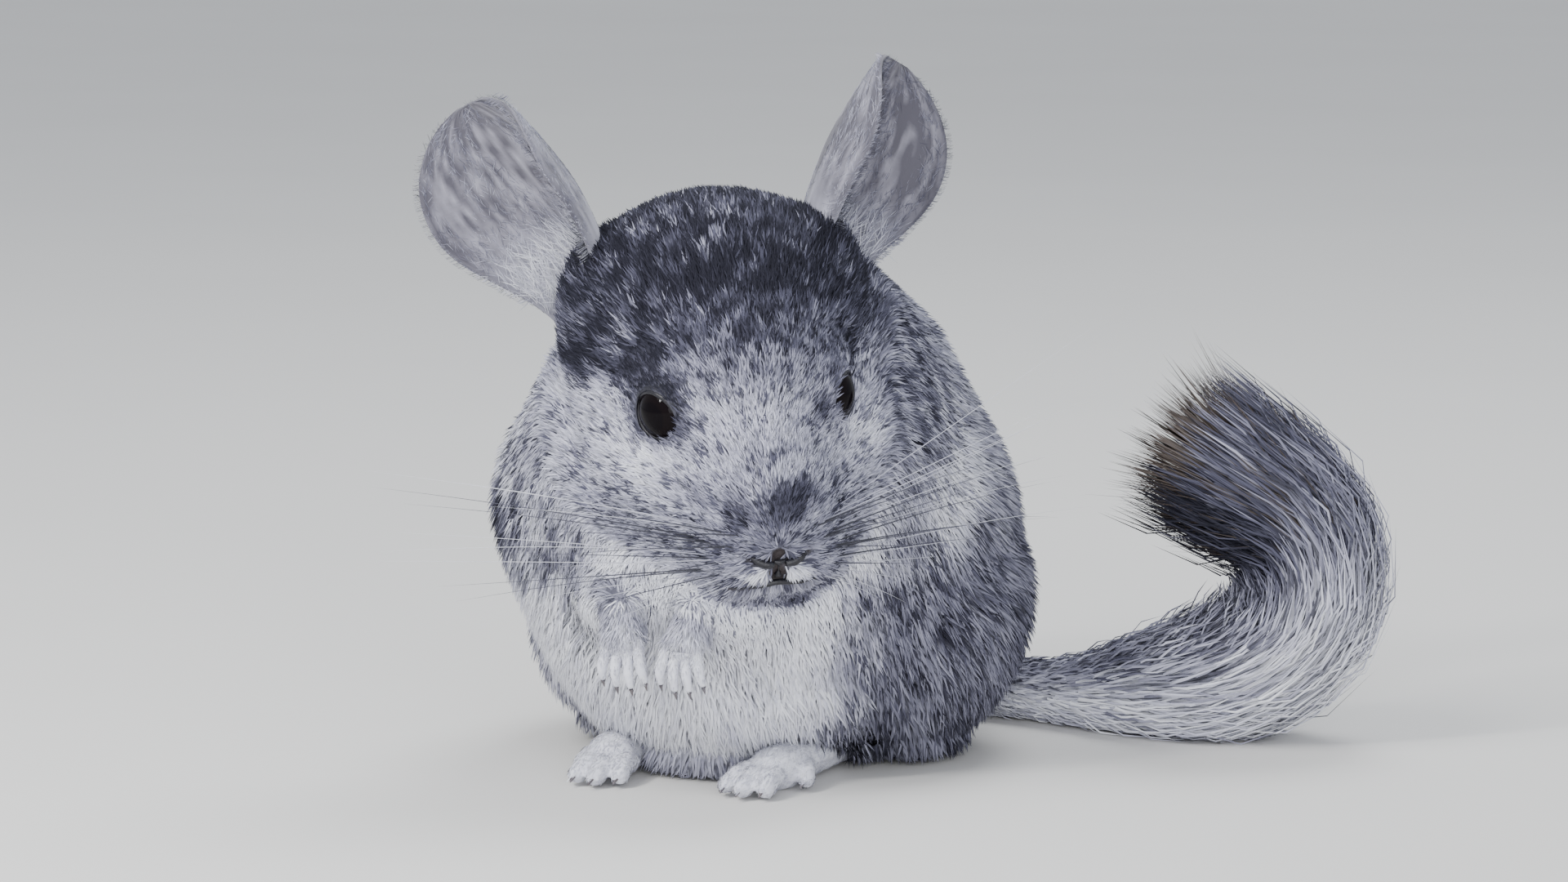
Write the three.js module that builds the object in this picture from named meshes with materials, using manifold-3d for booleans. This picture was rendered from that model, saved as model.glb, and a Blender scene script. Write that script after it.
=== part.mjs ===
// A sitting chinchilla at life size, in millimetres.
// +Z is up, the chest faces -Y and the animal's left side is at +X.
// The origin is on the floor, in the middle of the flat that the animal sits on.
// Flesh is made of soft unions of ellipsoids, whose outer surface is the outside of the coat.
import * as THREE from "three";
import { mergeVertices } from "three/addons/utils/BufferGeometryUtils.js";
import Module from "manifold-3d";

const wasm = await Module();
wasm.setup();

// Driving dimensions

const GAP = 0.3; // kept between touching pieces
const FAR = 400; // side of the block that is cut away below the floor

const RUMP = { at: [-1, 13, 46], size: [55, 55, 50] };
const CHEST = { at: [-5, -13, 60], size: [50.5, 42, 42] };
const SHOULDERS = { at: [1.5, 5, 84], size: [39, 37, 31] };
const BELLY_FRONT = { at: [0, -14, 32], size: [40, 36, 34] };
const BODY_BLEND = 5;
const BODY_DETAIL = 7;
const NECK_BALL = { at: [2, -14, 104], radius: 44 };

const HEAD_AT = [3, -27, 84];
const HEAD_TURN = 38; // degrees towards the animal's left
const HEAD_BOW = 28; // degrees nose down
const HEAD_LEAN = -5; // degrees towards the animal's right shoulder
const HEAD_BLEND = 2.6;
const HEAD_DETAIL = 8;
const CUT_DETAIL = 6; // of the shapes that neighbours are cut with
const CUT_SAG = 0.45; // what their flat faces fall short of the round

const EYE_RADIUS = 7.5;
const EYE_AT = [15.8, -18.4, 10];
const EYE_LOOKS = [0.84, -0.52, 0.15];
const LID_THICK = 0.9;
const LID_CORNERS = 14;
const LID_OPENING = [6.8, 6]; // half its width and half its height
const EYE_CLEARS = 9.6; // radius round an eye that the neck keeps out of

const EAR_ROOT = [19, 22, 10];
const EAR_LENGTH = 54; // from inside the head to the tip
const EAR_LEAN_OUT = { left: 34, right: 35 }; // degrees from upright
const EAR_LEAN_BACK = 22;
const EAR_FACES = { left: 41, right: 47 }; // degrees from straight ahead, outwards
const EAR_THICK = 1.3;
const EAR_HALF_WIDTH = [15, 28]; // along the sheet: at the root, at its widest
const EAR_WIDEST = 0.6; // share of the length
const EAR_BEND = [8.5, 19.5]; // radius of the roll: at the root, above the middle

const FLOOR_Z = 0;

const radians = THREE.MathUtils.degToRad;
const vector = (p) => new THREE.Vector3(...p);

// Solids

function solid(geometry) {
  const bare = new THREE.BufferGeometry();
  bare.setAttribute("position", geometry.getAttribute("position"));
  if (geometry.index) bare.setIndex(geometry.index);
  const merged = mergeVertices(bare, 1e-4);
  const mesh = new wasm.Mesh({
    numProp: 3,
    vertProperties: merged.attributes.position.array,
    triVerts: new Uint32Array(merged.index.array),
  });
  return new wasm.Manifold(mesh);
}

function unionOf(solids) {
  return solids.reduce((all, one) => all.add(one));
}

// The largest closed piece: cutting can leave loose scraps.
function largest(body) {
  return body.decompose().reduce((a, b) => (b.volume() > a.volume() ? b : a));
}

function meshOf(body, name, material) {
  const made = largest(body).getMesh();
  const geometry = new THREE.BufferGeometry();
  const points = new THREE.BufferAttribute(made.vertProperties, 3);
  geometry.setAttribute("position", points);
  geometry.setIndex(new THREE.BufferAttribute(made.triVerts, 1));
  geometry.computeVertexNormals();
  const mesh = new THREE.Mesh(geometry, material);
  mesh.name = name;
  return mesh;
}

function moved(body, matrix) {
  return body.transform(matrix.elements);
}

function mirrored(body) {
  return body.mirror([1, 0, 0]);
}

const belowFloor = solid(
  new THREE.BoxGeometry(FAR, FAR, FAR).translate(0, 0, FLOOR_Z - FAR / 2),
);

// Soft shapes

// Signed distance, near enough, to an ellipsoid that may be turned by Euler angles in degrees.
function ellipsoid({ at, size, turn = [0, 0, 0] }) {
  const centre = vector(at);
  const back = new THREE.Matrix4()
    .makeRotationFromEuler(new THREE.Euler(...turn.map(radians)))
    .invert();
  const [a, b, c] = size;
  const local = new THREE.Vector3();
  return (p) => {
    local.copy(p).sub(centre).applyMatrix4(back);
    const near = Math.hypot(local.x / a, local.y / b, local.z / c);
    const slope = Math.hypot(local.x / a ** 2, local.y / b ** 2, local.z / c ** 2);
    return slope > 0 ? (near * (near - 1)) / slope : -Math.min(a, b, c);
  };
}

// The same ellipsoid on the animal's left and right.
function pair({ at: [x, y, z], size, turn = [0, 0, 0] }) {
  const [rx, ry, rz] = turn;
  return [
    ellipsoid({ at: [x, y, z], size, turn }),
    ellipsoid({ at: [-x, y, z], size, turn: [rx, -ry, -rz] }),
  ];
}

function softUnion(shapes, blend) {
  return (p) => {
    const total = shapes.reduce((sum, shape) => sum + Math.exp(-shape(p) / blend), 0);
    return -blend * Math.log(total);
  };
}

// How far a shape reaches from a centre along a direction.
function reach(shape, centre, direction, limit = 110) {
  const p = new THREE.Vector3();
  let far = limit;
  for (let step = 0; step < 80; step++) {
    const gap = shape(p.copy(centre).addScaledVector(direction, far));
    if (gap < 0.002) break;
    far -= Math.max(gap * 0.8, 0.002);
  }
  return Math.max(far, 0.5);
}

// A ball of triangles, drawn out from its centre to the surface of a shape.
// focus, if given, moves directions so that some sides get more triangles.
function blob(shape, centre, detail, grow = 0, focus = null) {
  const geometry = new THREE.IcosahedronGeometry(1, detail);
  const points = geometry.getAttribute("position");
  const middle = vector(centre);
  const direction = new THREE.Vector3();
  for (let i = 0; i < points.count; i++) {
    direction.fromBufferAttribute(points, i).normalize();
    if (focus) focus(direction);
    const far = reach((p) => shape(p) - grow, middle, direction);
    direction.multiplyScalar(far).add(middle);
    points.setXYZ(i, direction.x, direction.y, direction.z);
  }
  return solid(geometry);
}

// A closed skin over rings of points, each ring with the same count, closed at both ends.
function skinOver(rings) {
  const count = rings[0].length;
  const middle = (ring) =>
    ring.reduce((sum, p) => sum.add(p), new THREE.Vector3()).divideScalar(count);
  const points = [middle(rings[0]), ...rings.flat(), middle(rings.at(-1))];
  const last = points.length - 1;
  const at = (ring, i) => 1 + ring * count + (i % count);
  const faces = [];
  for (let i = 0; i < count; i++) {
    faces.push(0, at(0, i + 1), at(0, i));
    faces.push(last, at(rings.length - 1, i), at(rings.length - 1, i + 1));
  }
  for (let r = 0; r + 1 < rings.length; r++)
    for (let i = 0; i < count; i++) {
      const [a, b, c, d] = [at(r, i), at(r, i + 1), at(r + 1, i + 1), at(r + 1, i)];
      // Both faces of a thin sheet are split the same way.
      if (i < count / 2) faces.push(a, b, c, a, c, d);
      else faces.push(a, b, d, b, c, d);
    }
  const geometry = new THREE.BufferGeometry().setFromPoints(points);
  geometry.setIndex(faces);
  const made = solid(geometry);
  return made.volume() < 0 ? solid(flipped(geometry)) : made;
}

function flipped(geometry) {
  const index = geometry.index.array;
  for (let i = 0; i < index.length; i += 3)
    [index[i + 1], index[i + 2]] = [index[i + 2], index[i + 1]];
  return geometry;
}

// A round limb through points, with a radius at each, and domed ends.
function limb(
  points,
  radii,
  { sides = 10, steps = 8, flat = 1, grow = 0, domed = [0.42, 0.8] } = {},
) {
  const curve = new THREE.CatmullRomCurve3(points.map(vector));
  const up = new THREE.Vector3(0, 0, 1);
  const rings = [];
  const last = radii.length - 1;
  const radiusAt = (t) => {
    const k = Math.min(Math.floor(t * last), last - 1);
    const within = THREE.MathUtils.smoothstep(t * last - k, 0, 1);
    return grow + radii[k] + (radii[k + 1] - radii[k]) * within;
  };
  const ring = (t, along, share) => {
    const ahead = curve.getTangentAt(t);
    const side = new THREE.Vector3().crossVectors(ahead, up);
    if (side.length() < 0.05) side.set(1, 0, 0);
    side.normalize();
    const over = new THREE.Vector3().crossVectors(side, ahead).normalize();
    const middle = curve.getPointAt(t).addScaledVector(ahead, along);
    const r = radiusAt(t) * share;
    return Array.from({ length: sides }, (_, i) => {
      const turn = (i / sides) * 2 * Math.PI;
      return middle
        .clone()
        .addScaledVector(side, Math.cos(turn) * r)
        .addScaledVector(over, Math.sin(turn) * r * flat);
    });
  };
  const rise = (share) => Math.sqrt(1 - share * share);
  for (const share of domed) rings.push(ring(0, -radiusAt(0) * rise(share), share));
  for (let i = 0; i <= steps; i++) rings.push(ring(i / steps, 0, 1));
  for (const share of domed.toReversed())
    rings.push(ring(1, radiusAt(1) * rise(share), share));
  return skinOver(rings);
}

function ball(at, radius, detail = 4) {
  return solid(new THREE.IcosahedronGeometry(radius, detail).translate(...at));
}

// Head

const CRANIUM = { at: [0, 10, 7], size: [34, 31, 33] };
const FOREHEAD = { at: [0, -12, 9], size: [21, 21, 21] };
const NOSE_BRIDGE = { at: [0, -29, 0], size: [13, 19, 13] };
const MUZZLE = { at: [0, -36, -9], size: [14, 14, 12] };
const LIP_PAD = { at: [7.5, -40, -13.5], size: [8.5, 9.5, 7] };
const CHEEK = { at: [17, -5, -10], size: [17.5, 23, 18] };
const CHEEK_FRONT = { at: [12, -22, -9], size: [13, 16, 14] };
const JAW = { at: [0, -31, -21], size: [9, 13, 6] };
const EAR_BASE = { at: [22, 14, 19.5], size: [10.5, 11, 12] };
const THROAT = { at: [0, -6, -18], size: [21, 24, 14] };

const headShape = softUnion(
  [
    ellipsoid(CRANIUM),
    ellipsoid(FOREHEAD),
    ellipsoid(NOSE_BRIDGE),
    ellipsoid(MUZZLE),
    ...pair(LIP_PAD),
    ...pair(CHEEK),
    ...pair(CHEEK_FRONT),
    ...pair(EAR_BASE),
    ellipsoid(JAW),
    ellipsoid(THROAT),
  ],
  HEAD_BLEND,
);
const HEAD_MIDDLE = [0, -8, -2];

// The face has finer triangles than the back of the head.
function towardsFace(direction) {
  direction.y -= 0.3;
  direction.normalize();
}

const headBlob = (grow = 0) =>
  blob(headShape, HEAD_MIDDLE, HEAD_DETAIL, grow, towardsFace);
const headCutter = () => blob(headShape, HEAD_MIDDLE, CUT_DETAIL, GAP + CUT_SAG);

const eyeAxis = (side) => vector([side * EYE_LOOKS[0], EYE_LOOKS[1], EYE_LOOKS[2]]).normalize();
const eyeCentre = (side) => vector([side * EYE_AT[0], EYE_AT[1], EYE_AT[2]]);

// Both lids: a thin shell over the eyeball with an almond opening.
function lids(side) {
  const centre = eyeCentre(side);
  const turn = new THREE.Matrix4().lookAt(eyeAxis(side), new THREE.Vector3(), new THREE.Vector3(0, 0, 1));
  turn.setPosition(centre);
  const [wide, high] = LID_OPENING;
  const rings = [0.5, 1.25].map((share, k) =>
    Array.from({ length: LID_CORNERS }, (_, i) => {
      const a = (i / LID_CORNERS) * 2 * Math.PI;
      const narrowing = 1 - 0.22 * Math.cos(a) ** 4;
      const x = Math.cos(a) * wide * share;
      const y = Math.sin(a) * high * share * narrowing;
      return new THREE.Vector3(x, y, 1 + 11 * k).applyMatrix4(turn);
    }),
  );
  const shell = ball(centre.toArray(), EYE_RADIUS + LID_THICK, 3);
  return { shell, opening: skinOver(rings) };
}

const NOSTRIL = { at: [3.2, -50.5, -8.5], size: [2.3, 2.2, 0.8] };
const MOUTH_WIDTH = 9;

function nostril(side) {
  const { at, size } = NOSTRIL;
  const slit = new THREE.IcosahedronGeometry(1, 2).scale(...size);
  slit.rotateY(side * -0.35).rotateZ(side * -0.3);
  return solid(slit.translate(side * at[0], at[1], at[2]));
}

// The line of the mouth, and the cleft from the nose down to it, are grooves.
function mouthGrooves() {
  const across = limb(
    [
      [-MOUTH_WIDTH, -41, -19.5],
      [-4, -47.5, -19],
      [0, -49.5, -17.5],
      [4, -47.5, -19],
      [MOUTH_WIDTH, -41, -19.5],
    ],
    [0.7, 0.9, 0.9, 0.9, 0.7],
    { sides: 5, steps: 8 },
  );
  const cleft = limb(
    [
      [0, -52, -10],
      [0, -51.5, -14],
      [0, -50, -17.5],
    ],
    [0.5, 0.7, 1.0],
    { sides: 5, steps: 3 },
  );
  return across.add(cleft);
}

const eye = (side, grow = 0) =>
  ball(eyeCentre(side).toArray(), EYE_RADIUS + grow, 3);

// Ears

function earUp(side) {
  const lean = radians(side > 0 ? EAR_LEAN_OUT.left : EAR_LEAN_OUT.right);
  const back = radians(EAR_LEAN_BACK);
  return vector([side * Math.sin(lean), Math.sin(back), Math.cos(back) * Math.cos(lean)]).normalize();
}

// A thin rolled cup: each ring is the outline of one slice across it.
function ear(side) {
  const up = earUp(side);
  const faces = radians(side > 0 ? EAR_FACES.left : EAR_FACES.right);
  const facing = vector([side * Math.sin(faces), -Math.cos(faces), 0]);
  facing.addScaledVector(up, -facing.dot(up)).normalize();
  const across = new THREE.Vector3().crossVectors(up, facing);
  const root = vector([side * EAR_ROOT[0], EAR_ROOT[1], EAR_ROOT[2]]);
  const slices = 11;
  const spans = 12;
  const rings = [];
  for (let k = 0; k < slices; k++) {
    const s = 0.99 * (1 - (1 - k / (slices - 1)) ** 1.5);
    const opened = THREE.MathUtils.smoothstep(s, 0, EAR_WIDEST);
    const closing = Math.max(s - EAR_WIDEST, 0) / (1 - EAR_WIDEST);
    const halfSpan =
      THREE.MathUtils.lerp(...EAR_HALF_WIDTH, opened) * Math.sqrt(1 - closing * closing);
    const bend = THREE.MathUtils.lerp(...EAR_BEND, opened);
    const bow = 5 * Math.sin(Math.PI * s * 0.8);
    const middle = root
      .clone()
      .addScaledVector(up, EAR_LENGTH * s)
      .addScaledVector(facing, -bow);
    const point = (t, offset) => {
      const angle = (t * halfSpan) / bend;
      const r = bend + offset;
      return middle
        .clone()
        .addScaledVector(across, r * Math.sin(angle))
        .addScaledVector(facing, bend - r * Math.cos(angle));
    };
    const ring = [];
    for (let i = 0; i <= spans; i++) ring.push(point(-1 + (2 * i) / spans, EAR_THICK / 2));
    for (let i = spans; i >= 0; i--) ring.push(point(-1 + (2 * i) / spans, -EAR_THICK / 2));
    rings.push(ring);
  }
  return skinOver(rings);
}

// Body

const bodyShape = softUnion(
  [ellipsoid(RUMP), ellipsoid(CHEST), ellipsoid(SHOULDERS), ellipsoid(BELLY_FRONT)],
  BODY_BLEND,
);
const BODY_MIDDLE = [0, 4, 58];

// Limbs

const THIGH = { at: [35, 9, 33], size: [22, 36, 31], turn: [12, 0, -6] };

function thigh(side, grow = 0) {
  const { at, size, turn } = THIGH;
  const shape = ellipsoid({
    at: [side * at[0], at[1], at[2]],
    size,
    turn: [turn[0], turn[1], side * turn[2]],
  });
  return blob(shape, [side * at[0], at[1], at[2]], 4, grow).subtract(belowFloor);
}

const HEEL = [21, 4];
const HIND_FOOT_LENGTH = 58;
const HIND_TOE = { length: 13, radius: 2.7 };

function hindFoot(side, grow = 0, soleOnly = false) {
  const [hx, hy] = HEEL;
  const toeRoot = hy - HIND_FOOT_LENGTH + HIND_TOE.length + 3;
  const sole = limb(
    [
      [hx, hy, 5],
      [hx - 1, hy - 22, 5.2],
      [hx - 2, toeRoot, 4.4],
    ],
    [5.5, 5.6, 5.8],
    { sides: 8, steps: 4, flat: 0.85, grow },
  );
  if (soleOnly) return side > 0 ? sole : mirrored(sole);
  const pieces = [sole];
  for (const [i, spread] of [-4.6, -1.4, 1.9, 5].entries()) {
    const long = HIND_TOE.length * [0.9, 1.1, 1, 0.6][i];
    const back = [0, 0, 0, 7][i];
    const x = hx - 2 + spread * 0.85;
    const tipX = hx - 2 + spread * 1.45;
    const y = toeRoot + 1 + back;
    const r = HIND_TOE.radius * [0.95, 1, 1, 0.85][i];
    pieces.push(
      limb(
        [
          [x, y, 3.6],
          [(x + tipX) / 2, y - long * 0.55, 4.2],
          [tipX, y - long, 2.4],
        ],
        [r, r * 0.95, r * 0.8],
        { sides: 6, steps: 3, grow, domed: [0.65] },
      ),
    );
    pieces.push(
      limb(
        [
          [tipX, y - long, 3.4],
          [tipX * 1.01, y - long - 3.4, 2.1],
        ],
        [1.1, 0.5],
        { sides: 5, steps: 1, grow, domed: [] },
      ),
    );
  }
  const foot = unionOf(pieces).subtract(belowFloor);
  return side > 0 ? foot : mirrored(foot);
}

const ELBOW = [25, -33, 44];
const WRIST = [8.5, -56, 41];

function foreleg(side, grow = 0) {
  const arm = limb(
    [
      [ELBOW[0] + 2, ELBOW[1] + 14, ELBOW[2] + 6],
      ELBOW,
      [17, -46, 40],
      WRIST,
    ],
    [11, 10, 7.4, 5.2],
    { sides: 9, steps: 5, grow },
  );
  return side > 0 ? arm : mirrored(arm);
}

function forePaw(side) {
  const [wx, wy, wz] = WRIST;
  const palmEnd = [wx - 1.4, wy - 3.4, wz - 9];
  const pieces = [limb([[wx, wy - 0.6, wz - 1], palmEnd], [5, 5], { sides: 8, steps: 2, flat: 0.8 })];
  for (const [i, spread] of [-3.8, -1.3, 1.25, 3.7].entries()) {
    const long = [6.4, 7.8, 7.6, 6.2][i];
    const x = palmEnd[0] + spread;
    const tip = [x + spread * 0.12 - 0.4, palmEnd[1] + 0.6, palmEnd[2] - long];
    pieces.push(
      limb(
        [
          [x * 0.98, palmEnd[1] - 0.4, palmEnd[2] + 2],
          [x + spread * 0.1, palmEnd[1] - 2.3, palmEnd[2] - long * 0.45],
          tip,
        ],
        [1.75, 1.75, 1.35],
        { sides: 6, steps: 3, domed: [0.65] },
      ),
    );
    pieces.push(
      limb([tip, [tip[0], tip[1] + 1, tip[2] - 2.2]], [0.65, 0.35], { sides: 4, steps: 1, domed: [] }),
    );
  }
  const paw = unionOf(pieces);
  return side > 0 ? paw : mirrored(paw);
}

// Tail

// The middle line of the tail, from inside the rump round to the last joint.
const TAIL_LINE = [
  [2, 44, 10],
  [20, 61, 7],
  [48, 58, 6.8],
  [74, 56, 9.5],
  [93, 55, 15.5],
  [106, 54.5, 26.5],
  [110, 53, 40],
  [106, 51, 51.5],
  [98, 48.5, 57.5],
];
const tailCurve = new THREE.CatmullRomCurve3(TAIL_LINE.map(vector), false, "centripetal");
const TAIL_CUTS = [0.36, 0.58, 0.8]; // shares of the length where it is parted
const LOCKS_ROUND = 7;
const LOCK_SUNK = 1.5; // depth of a root below the core's surface
const LOCK_SLOPE = 0.5;
const RING_APART = 10.5;
const RING_AFTER_CUT = 1.8;
const RING_BEFORE_CUT = 6;
const TIP_LOCKS = 5;
tailCurve.arcLengthDivisions = 400;
const tailLength = tailCurve.getLength();

// The tail's own directions at a share of its length: ahead, towards the inside of the curl, and sideways.
function tailFrame(t) {
  const ahead = tailCurve.getTangentAt(t);
  const flank = vector([-0.37, 0.93, 0]);
  const inside = new THREE.Vector3().crossVectors(flank, ahead).normalize();
  flank.crossVectors(ahead, inside).normalize();
  return { at: tailCurve.getPointAt(t), ahead, inside, flank };
}

// The place at a share of the length, a distance out from the middle line, at an angle round it.
function onTail(t, out, turn) {
  const share = THREE.MathUtils.clamp(t, 0, 1);
  const { at, ahead, inside, flank } = tailFrame(share);
  return at
    .clone()
    .addScaledVector(ahead, (t - share) * tailLength)
    .addScaledVector(inside, out * Math.cos(turn))
    .addScaledVector(flank, out * Math.sin(turn));
}

function coreRadius(t) {
  const swell = THREE.MathUtils.smoothstep(t, 0.3, 0.5);
  const slim = THREE.MathUtils.smoothstep(t, 0.8, 1);
  return 5.6 + 1.9 * swell - 2.5 * slim;
}

function tailCore(from, to, grow = 0) {
  const sides = 10;
  const steps = Math.max(3, Math.round((to - from) * 20));
  const rings = [];
  for (let k = 0; k <= steps; k++) {
    const t = from + ((to - from) * k) / steps;
    rings.push(
      Array.from({ length: sides }, (_, i) =>
        onTail(t, coreRadius(t) + grow, (i / sides) * 2 * Math.PI),
      ),
    );
  }
  return skinOver(rings);
}

// A flat lock of hair that lies back along the tail: its root is sunk in the core and it
// rises at one slope, so that locks of neighbouring lengths lie over each other and never cross.
function tailLock(t, turn, { long, rise, wide, thick, twist = 0 }) {
  const shares = [
    [0, 0.7],
    [0.4, 1],
    [0.72, 0.72],
    [0.97, 0.14],
  ];
  const rings = shares.map(([along, share]) => {
    const at = t + (along * long) / tailLength;
    const out = coreRadius(t) - LOCK_SUNK + along * rise;
    const half = (wide / 2) * share;
    const deep = (thick / 2) * (0.35 + 0.65 * share);
    const angle = turn + twist * along;
    return [
      onTail(at, out, angle - half / Math.max(out, 4)),
      onTail(at, out - deep, angle),
      onTail(at, out, angle + half / Math.max(out, 4)),
      onTail(at, out + deep, angle),
    ];
  });
  return skinOver(rings);
}

// A steady number from 0 to 1 for each lock, so that no two are quite alike.
const uneven = (n) => Math.abs(Math.sin(n * 12.9898) * 43758.5453) % 1;

function lockAt(along, i, spread) {
  const n = along * 7 + i * 3.1;
  const turn = ((i + spread) / LOCKS_ROUND) * 2 * Math.PI + 0.25 * (uneven(n) - 0.5);
  const t = along / tailLength;
  const grown = THREE.MathUtils.smoothstep(t, 0.3, 0.52);
  const drawnOut = THREE.MathUtils.smoothstep(t, 0.74, 0.92);
  const long = (11 + 12 * grown + 8 * drawnOut) * (0.88 + 0.24 * uneven(n + 1));
  return tailLock(t, turn, {
    long,
    rise: long * LOCK_SLOPE,
    wide: 6.5 + 2 * grown - drawnOut,
    thick: 2.2,
  });
}

// A length of the tail: its core and, past the smooth base, rings of locks rooted in it.
function tailPart(from, to) {
  const pieces = [tailCore(from, to)];
  const start = from * tailLength + RING_AFTER_CUT;
  const end = to * tailLength - (to < 1 ? RING_BEFORE_CUT : 1);
  if (from > 0) {
    const rings = Math.round((end - start) / RING_APART);
    for (let k = 0; k <= rings; k++)
      for (let i = 0; i < LOCKS_ROUND; i++)
        pieces.push(lockAt(start + ((end - start) * k) / rings, i, 0.5 * (k % 2)));
  }
  if (to === 1)
    for (let i = 0; i < TIP_LOCKS; i++) {
      const slope = 0.12 + 0.2 * (i % 3);
      const long = 27 + 6 * uneven(i);
      const turn = (i / TIP_LOCKS) * 2 * Math.PI * 2.6;
      pieces.push(
        tailLock(1 - 3 / tailLength, turn, {
          long,
          rise: long * slope,
          wide: 5,
          thick: 2,
        }),
      );
    }
  return unionOf(pieces).subtract(belowFloor);
}

// Group

const fur = new THREE.MeshStandardMaterial({ color: "#7d7e8a", roughness: 0.95, metalness: 0 });
const paleFur = new THREE.MeshStandardMaterial({ color: "#d5d6e2", roughness: 0.95, metalness: 0 });
const skin = new THREE.MeshStandardMaterial({ color: "#9a97a0", roughness: 0.8, metalness: 0 });
const eyeBlack = new THREE.MeshStandardMaterial({ color: "#0b0a0c", roughness: 0.08, metalness: 0 });

const chinchilla = new THREE.Group();
const headGroup = new THREE.Group();
headGroup.position.set(...HEAD_AT);
headGroup.rotation.set(radians(HEAD_BOW), radians(HEAD_LEAN), radians(HEAD_TURN), "ZXY");
headGroup.updateMatrixWorld(true);
chinchilla.add(headGroup);

const wholeHead = headBlob();
let headCut = headCutter();
for (const side of [1, -1])
  headCut = headCut.add(ball(eyeCentre(side).toArray(), EYE_CLEARS, 3));
const headGrown = headBlob(GAP);
const headInBody = moved(headCut, headGroup.matrixWorld);

const bodyInHead = moved(
  blob(bodyShape, BODY_MIDDLE, BODY_DETAIL, GAP),
  headGroup.matrixWorld.clone().invert(),
);

let head = wholeHead;
for (const side of [1, -1]) {
  const { shell, opening } = lids(side);
  head = head.add(shell).subtract(opening);
}
for (const side of [1, -1]) head = head.subtract(eye(side, GAP));
for (const side of [1, -1]) head = head.subtract(nostril(side));
head = head.subtract(mouthGrooves());
headGroup.add(meshOf(head, "head", fur));

for (const [side, word] of [
  [1, "left"],
  [-1, "right"],
]) {
  headGroup.add(meshOf(eye(side), `eye_${word}`, eyeBlack));
  const open = ear(side).subtract(headGrown).subtract(bodyInHead);
  headGroup.add(meshOf(open, `ear_${word}`, skin));
}

const wholeBody = blob(bodyShape, BODY_MIDDLE, BODY_DETAIL).subtract(belowFloor);
let torso = wholeBody.subtract(headInBody);
const neckCutter = ball(NECK_BALL.at, NECK_BALL.radius, 4);
const neckCutterGrown = ball(NECK_BALL.at, NECK_BALL.radius + GAP, 4);
const neck = torso.intersect(neckCutter);
chinchilla.add(meshOf(neck, "neck", fur));
torso = torso.subtract(neckCutterGrown);

for (const [side, word] of [
  [1, "left"],
  [-1, "right"],
]) {
  torso = torso.subtract(foreleg(side, GAP)).subtract(thigh(side, GAP)).subtract(hindFoot(side, GAP, true));
  const arm = foreleg(side)
    .subtract(moved(headGrown, headGroup.matrixWorld))
    .subtract(neckCutterGrown);
  chinchilla.add(meshOf(arm, `foreleg_${word}`, fur));
  chinchilla.add(meshOf(forePaw(side).subtract(foreleg(side, GAP)), `forepaw_${word}`, paleFur));
  const leg = thigh(side).subtract(hindFoot(side, GAP, true)).subtract(foreleg(side, GAP));
  chinchilla.add(meshOf(leg, `thigh_${word}`, fur));
  chinchilla.add(meshOf(hindFoot(side), `hindfoot_${word}`, paleFur));
}

const stops = [0, ...TAIL_CUTS, 1];
for (const [i, name] of ["tail_base", "tail_lower", "tail_bend", "tail_tip"].entries()) {
  const from = stops[i] + (i ? GAP / tailLength : 0);
  chinchilla.add(meshOf(tailPart(from, stops[i + 1]), name, fur));
}
torso = torso.subtract(tailCore(0, 0.2, GAP));
chinchilla.add(meshOf(torso, "torso", fur));

export default chinchilla;
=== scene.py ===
"""The looks of a sitting chinchilla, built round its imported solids."""

import math

import bmesh
import bpy
import numpy as np
from mathutils import Matrix, Vector
from mathutils.bvhtree import BVHTree


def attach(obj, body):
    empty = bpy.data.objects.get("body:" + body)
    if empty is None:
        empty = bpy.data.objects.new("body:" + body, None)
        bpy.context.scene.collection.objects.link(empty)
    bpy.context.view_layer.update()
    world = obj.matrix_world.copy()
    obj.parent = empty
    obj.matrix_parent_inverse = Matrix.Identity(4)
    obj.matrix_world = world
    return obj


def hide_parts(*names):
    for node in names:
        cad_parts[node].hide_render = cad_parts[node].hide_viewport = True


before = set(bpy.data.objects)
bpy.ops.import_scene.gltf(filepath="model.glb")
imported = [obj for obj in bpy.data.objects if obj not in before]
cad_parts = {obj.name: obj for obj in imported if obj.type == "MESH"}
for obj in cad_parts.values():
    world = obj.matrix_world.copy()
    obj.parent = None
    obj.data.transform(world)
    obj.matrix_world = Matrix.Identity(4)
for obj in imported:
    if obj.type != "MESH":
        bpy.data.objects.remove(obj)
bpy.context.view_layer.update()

bl_info = {
    "name": "Sitting Chinchilla",
    "version": (1, 0, 0),
    "blender": (4, 5, 0),
    "location": "3D View > Sidebar > Chinchilla",
    "description": "Builds the skin, coat, ears, eyes, tail and stage of a life-size chinchilla",
    "category": "Object",
}

MM = 0.001
FLESH = ["torso", "neck", "head", "foreleg_left", "foreleg_right", "thigh_left", "thigh_right"]
HANDS = ["forepaw_left", "forepaw_right"]
FEET = ["hindfoot_left", "hindfoot_right"]
TAIL = ["tail_base", "tail_lower", "tail_bend", "tail_tip"]
SIDES = {"left": 1, "right": -1}


# Places in the head's own directions, in millimetres: x to the animal's left, y backwards, z up.
HEAD_AT = (3, -27, 84)
HEAD_TURN, HEAD_BOW, HEAD_LEAN = 38, 28, -5
EYE_AT = (15.8, -18.4, 10)
EYE_LOOKS = (0.84, -0.52, 0.15)
EYE_RADIUS = 7.5
LID_OPENING = (6.7, 5.4)
LIDS_CLOSED = {1: 1.22, -1: 1}  # how much closer the fur comes over each eye
NOSE_TIP = (0, -52, -9)

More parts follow.
